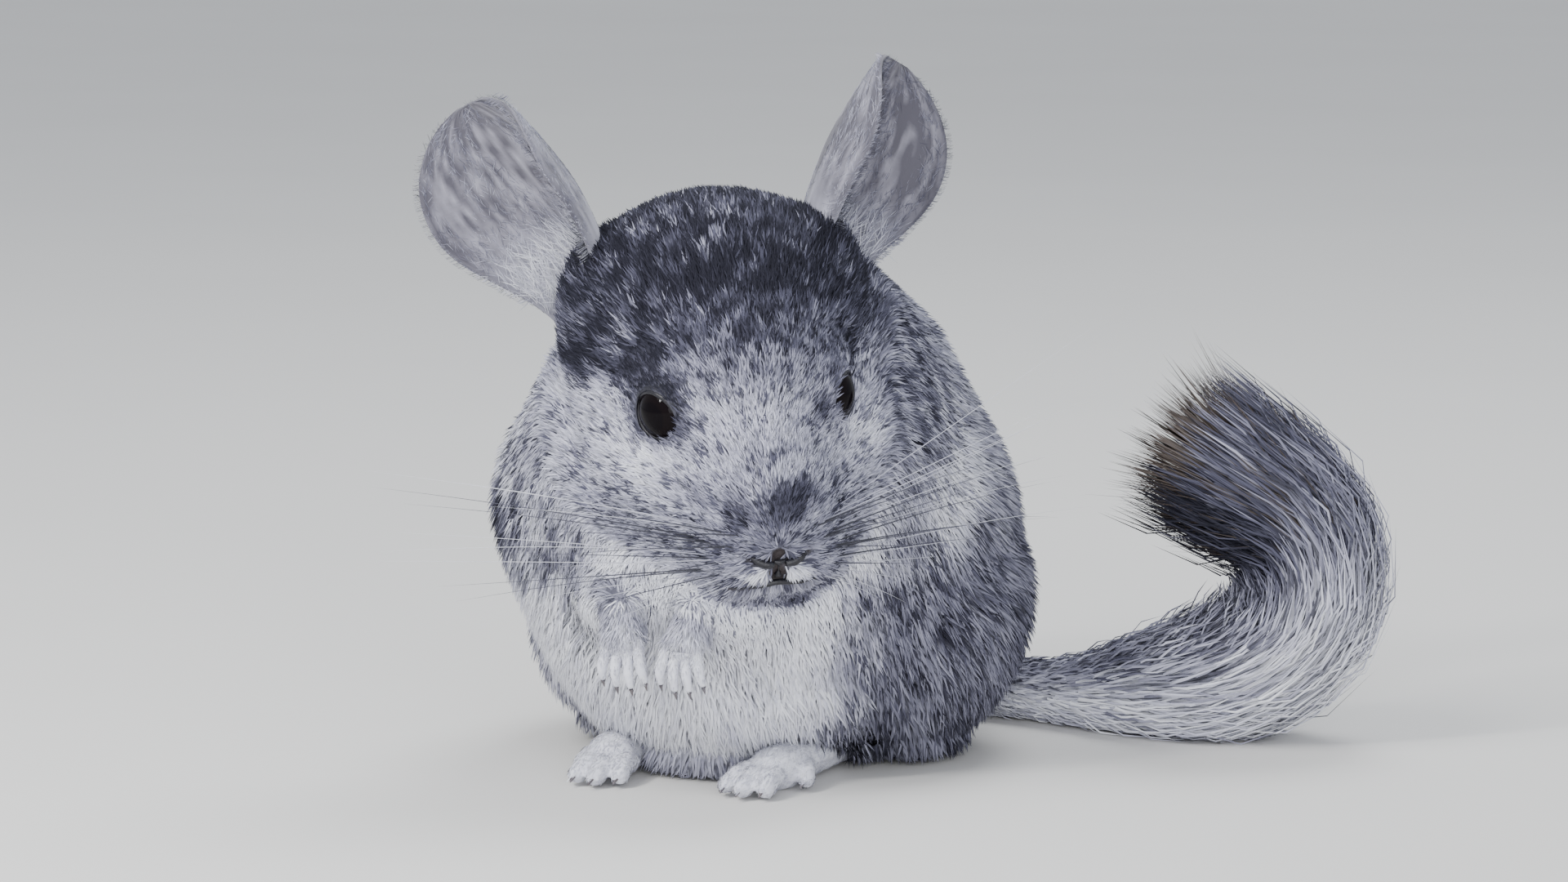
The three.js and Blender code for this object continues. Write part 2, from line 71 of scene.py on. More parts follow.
EAR_ROOT = (19, 22, 10)
EAR_LENGTH = 54
EAR_LEAN_OUT = {1: 34, -1: 35}
EAR_LEAN_BACK = 22
EAR_FACES = {1: 41, -1: 47}
EAR_HALF_WIDTH = (15, 28)
EAR_WIDEST = 0.6
EAR_BEND = (8.5, 19.5)

TAIL_LINE = [
    (2, 44, 10),
    (20, 61, 7),
    (48, 58, 6.8),
    (74, 56, 9.5),
    (93, 55, 15.5),
    (106, 54.5, 26.5),
    (110, 53, 40),
    (106, 51, 51.5),
    (98, 48.5, 57.5),
]


# Numbers


def smooth(low, high, x):
    """0 below low, 1 above high, with a soft rise between."""
    t = np.clip((x - low) / (high - low), 0, 1)
    return t * t * (3 - 2 * t)


def spot(p, centre, size):
    """A soft spot of height 1: size is its half-width along each axis."""
    d = ((p - np.array(centre)) / np.array(size)) ** 2
    return np.exp(-d.sum(axis=1))


def unit(v):
    return v / np.maximum(np.linalg.norm(v, axis=-1, keepdims=True), 1e-12)


def cell_noise(cells, seed):
    x, y, z = (cells[:, k].astype(np.int64) for k in range(3))
    n = (x * 374761393 + y * 668265263 + z * 1442695041 + seed * 974634777) & 0xFFFFFFFF
    n = ((n ^ (n >> 13)) * 1274126177) & 0xFFFFFFFF
    return ((n ^ (n >> 16)) & 0xFFFFFF) / 0xFFFFFF


def noise(p, size, seed=0):
    """Soft noise from 0 to 1 at points p, with lumps about size across."""
    q = p / size
    low = np.floor(q)
    f = q - low
    f = f * f * (3 - 2 * f)
    total = np.zeros(len(p))
    for corner in np.ndindex(2, 2, 2):
        c = np.array(corner)
        weight = np.prod(np.where(c == 1, f, 1 - f), axis=1)
        total += weight * cell_noise(low + c, seed)
    return total


def segment_distance(p, a, b):
    a, b = np.array(a, float), np.array(b, float)
    along = np.clip(((p - a) @ (b - a)) / ((b - a) @ (b - a)), 0, 1)
    return np.linalg.norm(p - a - along[:, None] * (b - a), axis=1)


def line_distance(p, *knots):
    """Distance from the nearest stretch of a line through knots."""
    return np.min([segment_distance(p, a, b) for a, b in zip(knots, knots[1:])], axis=0)


def spread_over(knots, count):
    """Rows of numbers spread evenly between the given rows."""
    steps = np.linspace(0, len(knots) - 1, count)
    columns = np.array(knots, float).T
    return np.stack([np.interp(steps, range(len(knots)), column) for column in columns], 1)


# Head directions

HEAD_TURNED = np.array(
    Matrix.Rotation(math.radians(HEAD_TURN), 3, "Z")
    @ Matrix.Rotation(math.radians(HEAD_BOW), 3, "X")
    @ Matrix.Rotation(math.radians(HEAD_LEAN), 3, "Y")
)


def into_head(p):
    """World metres to head millimetres."""
    return (p / MM - np.array(HEAD_AT)) @ HEAD_TURNED


def from_head(p):
    """Head millimetres to world metres."""
    return (np.array(p, float) @ HEAD_TURNED.T + np.array(HEAD_AT)) * MM


def turn_from_head(v):
    return np.array(v, float) @ HEAD_TURNED.T


HEAD_BLEND = 2.6  # width of the soft joins between the forms
HEAD_FORMS = [  # middle and half-widths of each form, on both sides of the head
    ((0, 10, 7), (34, 31, 33)),
    ((0, -12, 9), (21, 21, 21)),
    ((0, -29, 0), (13, 19, 13)),
    ((0, -36, -9), (14, 14, 12)),
    ((7.5, -40, -13.5), (8.5, 9.5, 7)),
    ((17, -5, -10), (17.5, 23, 18)),
    ((12, -22, -9), (13, 16, 14)),
    ((22, 14, 19.5), (10.5, 11, 12)),
    ((0, -31, -21), (9, 13, 6)),
    ((0, -6, -18), (21, 24, 14)),
]


def off_head(p):
    """Millimetres outside the head's surface, less than 0 inside it."""
    h = into_head(p)
    m = np.column_stack([np.abs(h[:, 0]), h[:, 1], h[:, 2]])
    total = np.zeros(len(p))
    for centre, size in HEAD_FORMS:
        q = m - np.array(centre)
        reach = np.linalg.norm(q / np.array(size), axis=1)
        steep = np.maximum(np.linalg.norm(q / np.array(size) ** 2, axis=1), 1e-9)
        total += np.exp(-np.clip(reach * (reach - 1) / steep / HEAD_BLEND, -20, 20))
    return -HEAD_BLEND * np.log(np.maximum(total, 1e-9))


def head_share(p):
    """1 on the head, 0 on the body."""
    return 1 - smooth(0.4, 2.4, off_head(p))


def eye_centre(side):
    return np.array([side * EYE_AT[0], EYE_AT[1], EYE_AT[2]])


def eye_axis(side):
    return unit(np.array([side * EYE_LOOKS[0], EYE_LOOKS[1], EYE_LOOKS[2]]))


def eye_frame(side):
    """An eye's middle, the way it looks, and its own up and sideways directions."""
    axis = eye_axis(side)
    up = unit(np.array([0, 0, 1]) - axis * axis[2])
    return eye_centre(side), axis, up, np.cross(up, axis)


def eye_distance(p):
    """Millimetres from the nearer eyeball's surface."""
    h = into_head(p)
    return np.min(
        [np.linalg.norm(h - eye_centre(s), axis=1) - EYE_RADIUS for s in (1, -1)], axis=0
    )


def eye_opening(p):
    """Share of the way from the middle of the nearer eye's opening to its edge."""
    h = into_head(p)
    nearest = np.full(len(p), 9.0)
    for side in (1, -1):
        centre, axis, up, across = eye_frame(side)
        away = h - centre
        x, y = away @ across / LID_OPENING[0], away @ up / LID_OPENING[1]
        reach = np.hypot(x, y / (1 - 0.22 * x**4 / np.maximum(x * x + y * y, 1e-6) ** 2))
        front = (away @ axis > 0) & (np.linalg.norm(away, axis=1) < 12)
        nearest = np.where(front, np.minimum(nearest, reach * LIDS_CLOSED[side]), nearest)
    return nearest


# The tail's own directions


class TailLine:
    """A smooth line through points, walked by its length."""

    def __init__(self, points):
        p = np.array(points, float)
        p = np.vstack([2 * p[0] - p[1], p, 2 * p[-1] - p[-2]])
        places = []
        for k in range(1, len(p) - 2):
            gaps = [np.linalg.norm(p[k + j] - p[k + j - 1]) ** 0.5 for j in range(3)]
            t0, t1 = gaps[0], gaps[0] + gaps[1]
            t2 = t1 + gaps[2]
            for t in np.linspace(t0, t1, 60, endpoint=False):
                a1 = p[k - 1] * (t0 - t) / t0 + p[k] * t / t0
                a2 = p[k] * (t1 - t) / (t1 - t0) + p[k + 1] * (t - t0) / (t1 - t0)
                a3 = p[k + 1] * (t2 - t) / (t2 - t1) + p[k + 2] * (t - t1) / (t2 - t1)
                b1 = a1 * (t1 - t) / t1 + a2 * t / t1
                b2 = a2 * (t2 - t) / (t2 - t0) + a3 * (t - t0) / (t2 - t0)
                places.append(b1 * (t1 - t) / (t1 - t0) + b2 * (t - t0) / (t1 - t0))
        places.append(p[-2])
        self.places = np.array(places)
        steps = np.linalg.norm(np.diff(self.places, axis=0), axis=1)
        self.walked = np.concatenate([[0], np.cumsum(steps)])
        self.length = self.walked[-1]

    def at(self, s):
        """Places for lengths s; past the end they go straight on."""
        inside = np.clip(s, 0, self.length)
        here = np.stack([np.interp(inside, self.walked, self.places[:, k]) for k in range(3)], 1)
        return here + self.ahead(s) * (s - inside)[:, None]

    def ahead(self, s):
        a = np.clip(s - 1.5, 0, self.length - 3)
        pair = [
            np.stack([np.interp(q, self.walked, self.places[:, k]) for k in range(3)], 1)
            for q in (a, a + 3)
        ]
        return unit(pair[1] - pair[0])

    def round(self, s, out, turn):
        """Places at a distance out from the line, at an angle round it, in metres."""
        ahead = self.ahead(s)
        flank = np.broadcast_to(np.array([-0.37, 0.93, 0]), ahead.shape)
        inside = unit(np.cross(flank, ahead))
        flank = unit(np.cross(ahead, inside))
        away = inside * np.cos(turn)[:, None] + flank * np.sin(turn)[:, None]
        return (self.at(s) + away * out[:, None]) * MM, away, ahead


TAIL_PATH = TailLine(TAIL_LINE)


def core_radius(t):
    return 5.6 + 1.9 * smooth(0.3, 0.5, t) - 2.5 * smooth(0.8, 1, t)


def near_tail(p):
    """Length along the tail and distance from its line, in millimetres."""
    spots = TAIL_PATH.places[::6]
    gap = np.linalg.norm(p[:, None, :] / MM - spots[None], axis=2)
    k = gap.argmin(axis=1)
    return TAIL_PATH.walked[::6][k], gap[np.arange(len(p)), k]


# Markings, with some painted shade: how pale the coat is, from 0 to 1


def flecks(p, size, seed, share=0.5):
    """Small ragged spots: 1 in them, 0 between; share is how much they cover."""
    fine = 0.62 * noise(p, size, seed) + 0.38 * noise(p, size * 0.45, seed + 50)
    return smooth(0.56 - 0.3 * (share - 0.4), 0.68 - 0.3 * (share - 0.4), fine)


# Soft spots on both sides of the head: how much paler, where, and half-widths in millimetres
FACE_SPOTS = [
    (-0.16, (0, -46, -8), (17, 12, 11)),  # muzzle
    (0.26, (21, -21, 0), (9, 7, 7)),  # under the eye
    (0.42, (3.6, -50, -12), (3, 4, 2.4)),  # upper lip
    (0.4, (34, 12, 6), (5, 5, 5)),  # notch of the ear
    # Lower cheek: painted shade under the jaw's edge.
    (-0.2, (27, -27, -14), (5, 10, 8)),  # lower cheek
]


def face_shade(h):
    """The head's markings, with painted shade under the jaw and the chin, from head millimetres.
    """
    left = h[:, 0] > 0
    m = np.column_stack([np.abs(h[:, 0]), h[:, 1], h[:, 2]])
    blot = noise(h * np.array([1, 0.6, 1]), 3.4, 2) - 0.5
    wide = noise(h, 10, 3) - 0.5
    shade = 0.69 + 0.12 * blot + 0.08 * wide
    shade -= 0.36 * flecks(h * np.array([1, 0.6, 1]), 1.15, 1, 0.42)
    high = h[:, 2] + 0.42 * h[:, 1] + 5 * wide
    shade -= 0.3 * smooth(2, 17, high)
    crown = smooth(13, 27, high)
    pale = flecks(h * np.array([1, 0.45, 1]), 1.3, 5, 0.4)
    wave = np.sin((h[:, 2] - 0.9 * h[:, 1] + 9 * wide + 5 * blot) * 1.5)
    shade -= crown * (0.3 - 0.3 * pale - 0.16 * wave)
    shade += 0.1 * wave * smooth(4, 14, high) * (1 - crown)
    front = segment_distance(m, (0, -9, 34), (9, -8, 32)) + 9 * blot
    shade -= 0.34 * (1 - smooth(1.5, 6, front))
    fine = noise(h * np.array([1, 0.5, 1]), 1.6, 6) - 0.5
    patch = segment_distance(m, (19, -14, 17), (27, -2, 13)) + 9 * blot + 8 * fine
    behind = segment_distance(m, (27, -2, 13), (35, 7, 6)) + 8 * blot + 8 * fine
    patch = np.minimum(patch, behind)
    shade -= np.where(left, 0.2, 0.56) * (1 - smooth(-0.5, 8, patch))
    brow = segment_distance(m, (19, -25, 16), (24, -15, 17)) + 3 * blot
    shade -= np.where(left, 0.15, 0.4) * (1 - smooth(1, 4, brow))
    pale_line = segment_distance(h, (11, 8, 40), (16.5, -6, 33))
    shade += 0.4 * (1 - smooth(0.7, 2.2, pale_line))
    ear_line = line_distance(h, (14.5, 13, 39), (20.5, -4, 31), (25, -9, 20))
    shade -= 0.9 * (1 - smooth(1.2, 3, ear_line))
    bridge = segment_distance(m, (0, -45, 2.5), (5, -43, 0.5)) + 12 * blot
    shade -= 0.42 * (1 - smooth(-1, 9.5, bridge))
    shade -= 0.4 * (1 - smooth(1.0, 1.7, eye_opening(from_head(h)))) * np.where(left, 0.5, 1)
    pad = np.abs(np.sin(0.95 * (h[:, 2] + 0.22 * h[:, 1])))
    on_pad = spot(m, (13, -39, -8), (8, 9, 6.5))
    shade -= 0.5 * on_pad * (1 - smooth(0.15, 0.6, pad))
    shade -= 0.5 * spot(h, (13.3, -28.6, 12.5), (2.6, 4, 2.4))
    for paler, centre, size in FACE_SPOTS:
        shade += paler * spot(m, centre, size)
    shade -= 0.3 * spot(m, (31, -12, 0), (3.5, 12, 12)) * left
    # Painted shadow under the chin, where the bowed head meets the chest, broken up by the coat's
    # blotches.
    painted_shadow_under_chin = smooth(-19, -24, h[:, 2]) * smooth(-20, -34, h[:, 1])
    return shade - painted_shadow_under_chin * (0.06 + 0.36 * smooth(-0.12, 0.14, blot))


def body_shade(p):
    """The body's markings, with a line of painted shade above the right foreleg, from world
    millimetres.
    """
    x, y, z = p.T
    round_it = np.degrees(np.arctan2(x, -(y - 6)))
    lump = noise(p, 8, 11) - 0.5
    grain = noise(p * np.array([1, 1, 0.6]), 2.8, 12) - 0.5
    shade = 0.66 + 0.1 * lump + 0.2 * grain
    shade -= 0.32 * flecks(p * np.array([1, 1, 0.6]), 1.5, 10, 0.48)
    haunch = smooth(38, 56, round_it + 16 * lump) * (1 - smooth(44, 62, z + 14 * lump))
    shade -= 0.2 * haunch
    shade += 0.06 * smooth(45, 60, z) * (1 - smooth(80, 100, np.abs(round_it)))
    fold = round_it + 9 * (noise(p, 12, 13) - 0.5)
    bands = 0.5 + 0.5 * np.cos(np.radians(fold * 34))
    left = smooth(44, 52, fold) * (1 - smooth(84, 98, fold)) * smooth(62, 74, z)
    shade -= left * (0.08 + 0.26 * smooth(0.3, 0.8, bands))
    back = segment_distance(p, (49, -12, 56), (42, 16, 88)) + 5 * lump
    shade += 0.36 * (1 - smooth(2, 12, back))
    right = smooth(34, 50, -round_it) * (1 - smooth(110, 140, -round_it)) * smooth(22, 40, z)
    lines = smooth(0.6, 0.95, bands) * smooth(44, 58, z) * (1 - smooth(66, 92, -round_it))
    shade += right * (0.12 - 0.5 * lines)
    edge = np.interp(z, [8, 22, 41, 50], [28, 36, 44, 51])
    middle = np.abs(round_it + 4) + 14 * lump + 16 * grain
    middle += np.where(round_it > 0, 50 - edge, -6 * smooth(54, 20, z))
    top = 66 - 20 * smooth(-2, -26, x)
    belly = (1 - smooth(44, 58, middle)) * (1 - smooth(top - 7, top + 7, z + 8 * lump))
    warm = 0.98 + 0.16 * grain + 0.1 * lump
    shade += (warm - shade) * belly
    # Painted shade: a dark line down the animal's right front, from the shoulder to the wrist, in
    # the crease above the foreleg.
    under = line_distance(p, (-51, -16, 62), (-39, -42, 49), (-12, -56, 44))
    return shade - 0.4 * (1 - smooth(1.5, 8, under + 10 * grain))


def shade_at(p):
    """How pale the coat is at world points in metres."""
    on_head = head_share(p)
    h = into_head(p)
    shade = body_shade(p / MM)
    shade += (face_shade(h) - shade) * on_head
    along, off = near_tail(p)
    tail = (1 - smooth(7, 12, off)) * smooth(8, 16, along)
    shade += (0.52 + 0.3 * (noise(p / MM, 4, 21) - 0.5) - shade) * tail
    low = 1 - smooth(9, 14, p[:, 2] / MM)
    foot = low * (1 - smooth(-18, -8, p[:, 1] / MM))
    return np.clip(shade + (0.6 - shade) * foot, 0, 1)


# The coat's depth over the skin, and its lie


def coat_depth(p, sizes):
    """Metres from the skin to the outside of the coat."""
    on_head = head_share(p)
    h = into_head(p)
    front = smooth(-4, -32, h[:, 1])
    face = sizes.crown_depth + (sizes.face_depth - sizes.crown_depth) * front
    crease = smooth(2, 20, off_head(p))
    body = sizes.body_depth * (0.36 + 0.64 * crease)
    depth = body + (face - body) * on_head
    nose = np.exp(-(((h - np.array(NOSE_TIP)) / 9) ** 2).sum(axis=1))
    depth *= 1 - 0.6 * nose
    depth *= 0.2 + 0.8 * smooth(1, 8, eye_distance(p))
    along, off = near_tail(p)
    tail = (1 - smooth(8, 16, off)) * smooth(4, 14, along)
    depth += (sizes.tail_base_depth - depth) * tail
    q = np.column_stack([np.abs(p[:, 0]), p[:, 1:]]) / MM
    arm = segment_distance(q, (16, -47, 40), (8.5, -56, 41))
    depth *= 0.2 + 0.8 * smooth(5, 13, arm)
    floor = smooth(0, 7, p[:, 2] / MM)
    return depth * (0.25 + 0.75 * floor)


def lie(p, n):
    """The way the hair points along the skin."""
    on_head = head_share(p)[:, None]
    h = into_head(p)
    away = h - np.array([0, -54, -6])
    away[:, 2] *= 0.9
    back = turn_from_head(unit(away))
    up = np.clip(n[:, 2:], 0, 1)
    body = np.concatenate([0 * up, 0.25 + 0.9 * up, up - 1.05], axis=1)
    body[:, 0] += 0.12 * np.sign(p[:, 0]) * (1 - up[:, 0])
    flow = body * (1 - on_head) + back * on_head
    along, off = near_tail(p)
    tail = ((1 - smooth(9, 15, off)) * smooth(4, 12, along))[:, None]
    flow = flow * (1 - tail) + TAIL_PATH.ahead(along) * tail
    flow -= n * (flow * n).sum(axis=1, keepdims=True)
    return unit(flow)


# Meshes


def placed(name, data):
    """A new object in the scene."""
    made = bpy.data.objects.new(name, data)
    bpy.context.scene.collection.objects.link(made)
    return made


def add_marks(mesh, marks):
    """Keeps numbers on the points of a mesh."""
    for word, values in marks.items():
        layer = mesh.attributes.new(word, "FLOAT", "POINT")
        layer.data.foreach_set("value", np.asarray(values, np.float32))


def move_points(mesh, points):
    mesh.vertices.foreach_set("co", points.astype(np.float32).ravel())
    mesh.update()


def mesh_object(name, points, faces, marks=None, normals=None, uv=None):
    """A mesh of triangles, with numbers kept on its points."""
    mesh = bpy.data.meshes.new(name)
    mesh.vertices.add(len(points))
    mesh.vertices.foreach_set("co", np.asarray(points, np.float32).ravel())
    faces = np.asarray(faces, np.int32)
    mesh.loops.add(faces.size)
    mesh.loops.foreach_set("vertex_index", faces.ravel())
    mesh.polygons.add(len(faces))
    corners = faces.shape[1]
    mesh.polygons.foreach_set("loop_start", np.arange(0, faces.size, corners, dtype=np.int32))
    mesh.update(calc_edges=True)
    mesh.shade_smooth()
    add_marks(mesh, marks or {})
    if uv is not None:
        layer = mesh.uv_layers.new(name="OFBake")
        layer.data.foreach_set("uv", np.asarray(uv, np.float32)[faces.ravel()].ravel())
    if normals is not None:
        mesh.normals_split_custom_set_from_vertices(np.asarray(normals, np.float32))
    return placed(name, mesh)


def points_of(mesh):
    p = np.empty(len(mesh.vertices) * 3, np.float32)
    mesh.vertices.foreach_get("co", p)
    return p.reshape(-1, 3).astype(float)


def normals_of(mesh):
    n = np.empty(len(mesh.vertices) * 3, np.float32)
    mesh.vertex_normals.foreach_get("vector", n)
    return n.reshape(-1, 3).astype(float)


def triangles_of(mesh):
    mesh.calc_loop_triangles()
    t = np.empty(len(mesh.loop_triangles) * 3, np.int32)
    mesh.loop_triangles.foreach_get("vertices", t)
    return t.reshape(-1, 3)


def edges_of(mesh):
    e = np.empty(len(mesh.edges) * 2, np.int32)
    mesh.edges.foreach_get("vertices", e)
    return e.reshape(-1, 2)


def relax(points, edges, weight, times):
    """Moves each point towards the middle of its neighbours."""
    count = len(points)
    both = np.concatenate([edges, edges[:, ::-1]])
    held = np.maximum(np.bincount(both[:, 0], minlength=count), 1)
    w = weight[:, None]
    for _ in range(times):
        mean = np.stack(
            [np.bincount(both[:, 0], points[both[:, 1], k], count) for k in range(3)], 1
        )
        points = points + w * (mean / held[:, None] - points)
    return points


def fused(names, voxel, swell):
    """One closed skin round copies of some nodes, each swollen a little so that they join."""
    whole = bmesh.new()
    for name in names:
        piece = bmesh.new()
        piece.from_mesh(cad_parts[name].data)
        bmesh.ops.remove_doubles(piece, verts=piece.verts, dist=2e-6)
        piece.normal_update()
        places = [v.co + v.normal * swell for v in piece.verts]
        for v, place in zip(piece.verts, places):
            v.co = place
        copy = bpy.data.meshes.new("copy")
        piece.to_mesh(copy)
        piece.free()
        whole.from_mesh(copy)
        bpy.data.meshes.remove(copy)
    mesh = bpy.data.meshes.new("fused")
    whole.to_mesh(mesh)
    whole.free()
    made = placed("fused", mesh)
    remesh = made.modifiers.new("Remesh", "REMESH")
    remesh.mode = "VOXEL"
    remesh.voxel_size = voxel
    graph = bpy.context.evaluated_depsgraph_get()
    result = bpy.data.meshes.new_from_object(made.evaluated_get(graph))
    bpy.data.objects.remove(made)
    bpy.data.meshes.remove(mesh)
    return result


def outermost(mesh):
    """Drops sealed hollows: only the largest connected surface stays."""
    b = bmesh.new()
    b.from_mesh(mesh)
    seen, groups = set(), []
    b.verts.ensure_lookup_table()
    for start in b.verts:
        if start.index in seen:
            continue
        group, stack = [], [start]
        seen.add(start.index)
        while stack:
            v = stack.pop()
            group.append(v)
            for e in v.link_edges:
                o = e.other_vert(v)
                if o.index not in seen:
                    seen.add(o.index)
                    stack.append(o)
        groups.append(group)
    groups.sort(key=len)
    loose = [v for group in groups[:-1] for v in group]
    bmesh.ops.delete(b, geom=loose, context="VERTS")
    b.to_mesh(mesh)
    b.free()


# Tufts of hair


def blades(name, rings, normals, along, patch_rise, lowest, shade, kind, uv, finish):
    """Thin closed blades, each of rings of three points and a tip."""
    count, per = len(lowest), len(rings)
    points = np.stack(rings, 1).reshape(-1, 3)
    points[:, 2] = np.maximum(points[:, 2], np.repeat(lowest, per))
    tip = per - 1
    faces = [(0, 2, 1)]
    for i in range(3):
        j = (i + 1) % 3
        for low in range(0, tip - 3, 3):
            faces += [(low + i, low + 3 + j, low + 3 + i), (low + i, low + j, low + 3 + j)]
        faces.append((tip - 3 + i, tip - 3 + j, tip))
    base = (np.arange(count) * per)[:, None, None]
    row = np.repeat(np.arange(len(along)), [3] * (len(along) - 1) + [1])
    offsets = np.column_stack([[0, 1, 0.5] * (tip // 3) + [0.5], np.array(patch_rise)[row]])
    patch = (uv[:, None, :] + 0.003 * (offsets - 0.5)[None]).reshape(-1, 2)
    made = mesh_object(
        name,
        points,
        (base + np.array(faces)[None]).reshape(-1, 3),
        {
            "shade": np.repeat(shade, per),
            "along": np.tile(np.array(along)[row], count),
            "kind": np.repeat(kind, per),
        },
        np.stack(normals, 1).reshape(-1, 3),
        np.clip(patch, 0, 1),
    )
    made.data.materials.append(material(finish))
    return made


def tufts(name, roots, n, flow, length, height, width, shade, rng, uv):
    """Short hair: each tuft rises from its root and lies over along the coat."""
    count = len(roots)
    side = np.cross(n, flow)
    swing = rng.normal(0, 0.26, count)[:, None]
    flow = unit(flow + side * swing)
    side = unit(np.cross(n, flow))
    length = length * rng.uniform(0.75, 1.2, count)
    height = height * rng.uniform(0.82, 1.04, count)
    width = width * rng.uniform(0.75, 1.25, count)
    rings, normals = [], []
    for along, rise, share in [(0.0, -0.12, 1.0), (0.5, 0.75, 0.85)]:
        middle = roots + flow * (length * along)[:, None] + n * (height * rise)[:, None]
        half = (width * share / 2)[:, None]
        rings += [middle - side * half, middle + side * half, middle + n * half * 0.9]
        normals += [unit(n - 0.7 * side), unit(n + 0.7 * side), unit(n + 0.1 * flow)]
    rings.append(roots + flow * length[:, None] + n * height[:, None])
    normals.append(unit(n + 0.25 * flow))
    lowest = rng.uniform(0.0002, 0.0012, count)
    kind = rng.uniform(0, 1, count)
    return blades(name, rings, normals, (0, 0.5, 1), (0, 0.6, 1), lowest, shade, kind, uv, "fur")


def unrolled(p, centre):
    """A place on an even map of the surface round a centre, from 0 to 1."""
    d = unit(p - np.array(centre))
    u = np.arctan2(d[:, 0], -d[:, 1]) / (2 * np.pi) + 0.5
    v = d[:, 2] / 2 + 0.5
    return np.column_stack([0.01 + 0.98 * u, 0.01 + 0.98 * v])


def scatter(mesh, density, rng):
    """Roots over a mesh: density gives how many there are for each square millimetre."""
    p, n, t = points_of(mesh), normals_of(mesh), triangles_of(mesh)
    a, b, c = (p[t[:, k]] for k in range(3))
    area = 0.5 * np.linalg.norm(np.cross(b - a, c - a), axis=1) / MM**2
    wanted = area * density((a + b + c) / 3)
    total = int(wanted.sum())
    pick = rng.choice(len(t), total, p=wanted / wanted.sum())
    r1, r2 = np.sqrt(rng.uniform(0, 1, total)), rng.uniform(0, 1, total)
    w = np.column_stack([1 - r1, r1 * (1 - r2), r1 * r2])
    corner = t[pick]
    roots = sum(p[corner[:, k]] * w[:, k : k + 1] for k in range(3))
    away = unit(sum(n[corner[:, k]] * w[:, k : k + 1] for k in range(3)))
    return roots, away


def sheet_of_rings(name, rings, caps=True, **more):
    """A closed surface over rings of points of one count."""
    count = len(rings[0])
    points = np.concatenate(rings)
    faces = []
    for r in range(len(rings) - 1):
        for i in range(count):
            j = (i + 1) % count
            a, b = r * count + i, r * count + j
            faces += [(a, b, b + count), (a, b + count, a + count)]
    if caps:
        first, last = len(points), len(points) + 1
        points = np.vstack([points, rings[0].mean(0), rings[-1].mean(0)])
        top = (len(rings) - 1) * count
        for i in range(count):
            j = (i + 1) % count
            faces += [(first, j, i), (last, top + i, top + j)]
    made = mesh_object(name, points, faces, **more)
    b = bmesh.new()
    b.from_mesh(made.data)
    bmesh.ops.recalc_face_normals(b, faces=b.faces)
    b.to_mesh(made.data)
    b.free()
    return made


def tube(name, line, radii, sides=6, **more):
    """A round rod along a line of points."""
    line = np.asarray(line, float)
    ahead = unit(np.gradient(line, axis=0))
    side = unit(np.cross(ahead, np.array([0.13, 0.2, 0.97])))
    over = np.cross(side, ahead)
    turns = np.arange(sides) / sides * 2 * np.pi
    rings = [
        line[k] + radii[k] * (np.outer(np.cos(turns), side[k]) + np.outer(np.sin(turns), over[k]))
        for k in range(len(line))
    ]
    return sheet_of_rings(name, rings, **more)


def joined(name, objects):
    """Several meshes as one."""
    whole = bmesh.new()
    materials = []
    for o in objects:
        whole.from_mesh(o.data)
        materials += [m for m in o.data.materials if m not in materials]
    mesh = bpy.data.meshes.new(name)
    whole.to_mesh(mesh)
    whole.free()
    for m in materials:
        mesh.materials.append(m)
    mesh.shade_smooth()
    for o in objects:
        bpy.data.objects.remove(o)
    return placed(name, mesh)


# Materials


class Value:
    """A number that changes over a surface; sums on it add maths nodes."""

    def __init__(self, finish, socket):
        self.finish = finish
        self.socket = socket

    def _maths(self, operation, first, second):
        values = {0: first, 1: second}
        return self.finish.node("ShaderNodeMath", {"operation": operation}, values).out(0)

    def __add__(self, other):
        return self._maths("ADD", self, other)

    __radd__ = __add__

    def __sub__(self, other):
        return self._maths("SUBTRACT", self, other)

    def __rsub__(self, other):
        return self._maths("SUBTRACT", other, self)

    def __mul__(self, other):
        return self._maths("MULTIPLY", self, other)

    __rmul__ = __mul__

    def held(self):
        """Kept from 0 to 1."""
        settings = {"operation": "MULTIPLY", "use_clamp": True}
        return self.finish.node("ShaderNodeMath", settings, {0: self, 1: 1.0}).out(0)


class Made:
    """A node that has been made."""

    def __init__(self, finish, node):
        self.finish = finish
        self.node = node

    def out(self, name):
        return Value(self.finish, self.node.outputs[name])


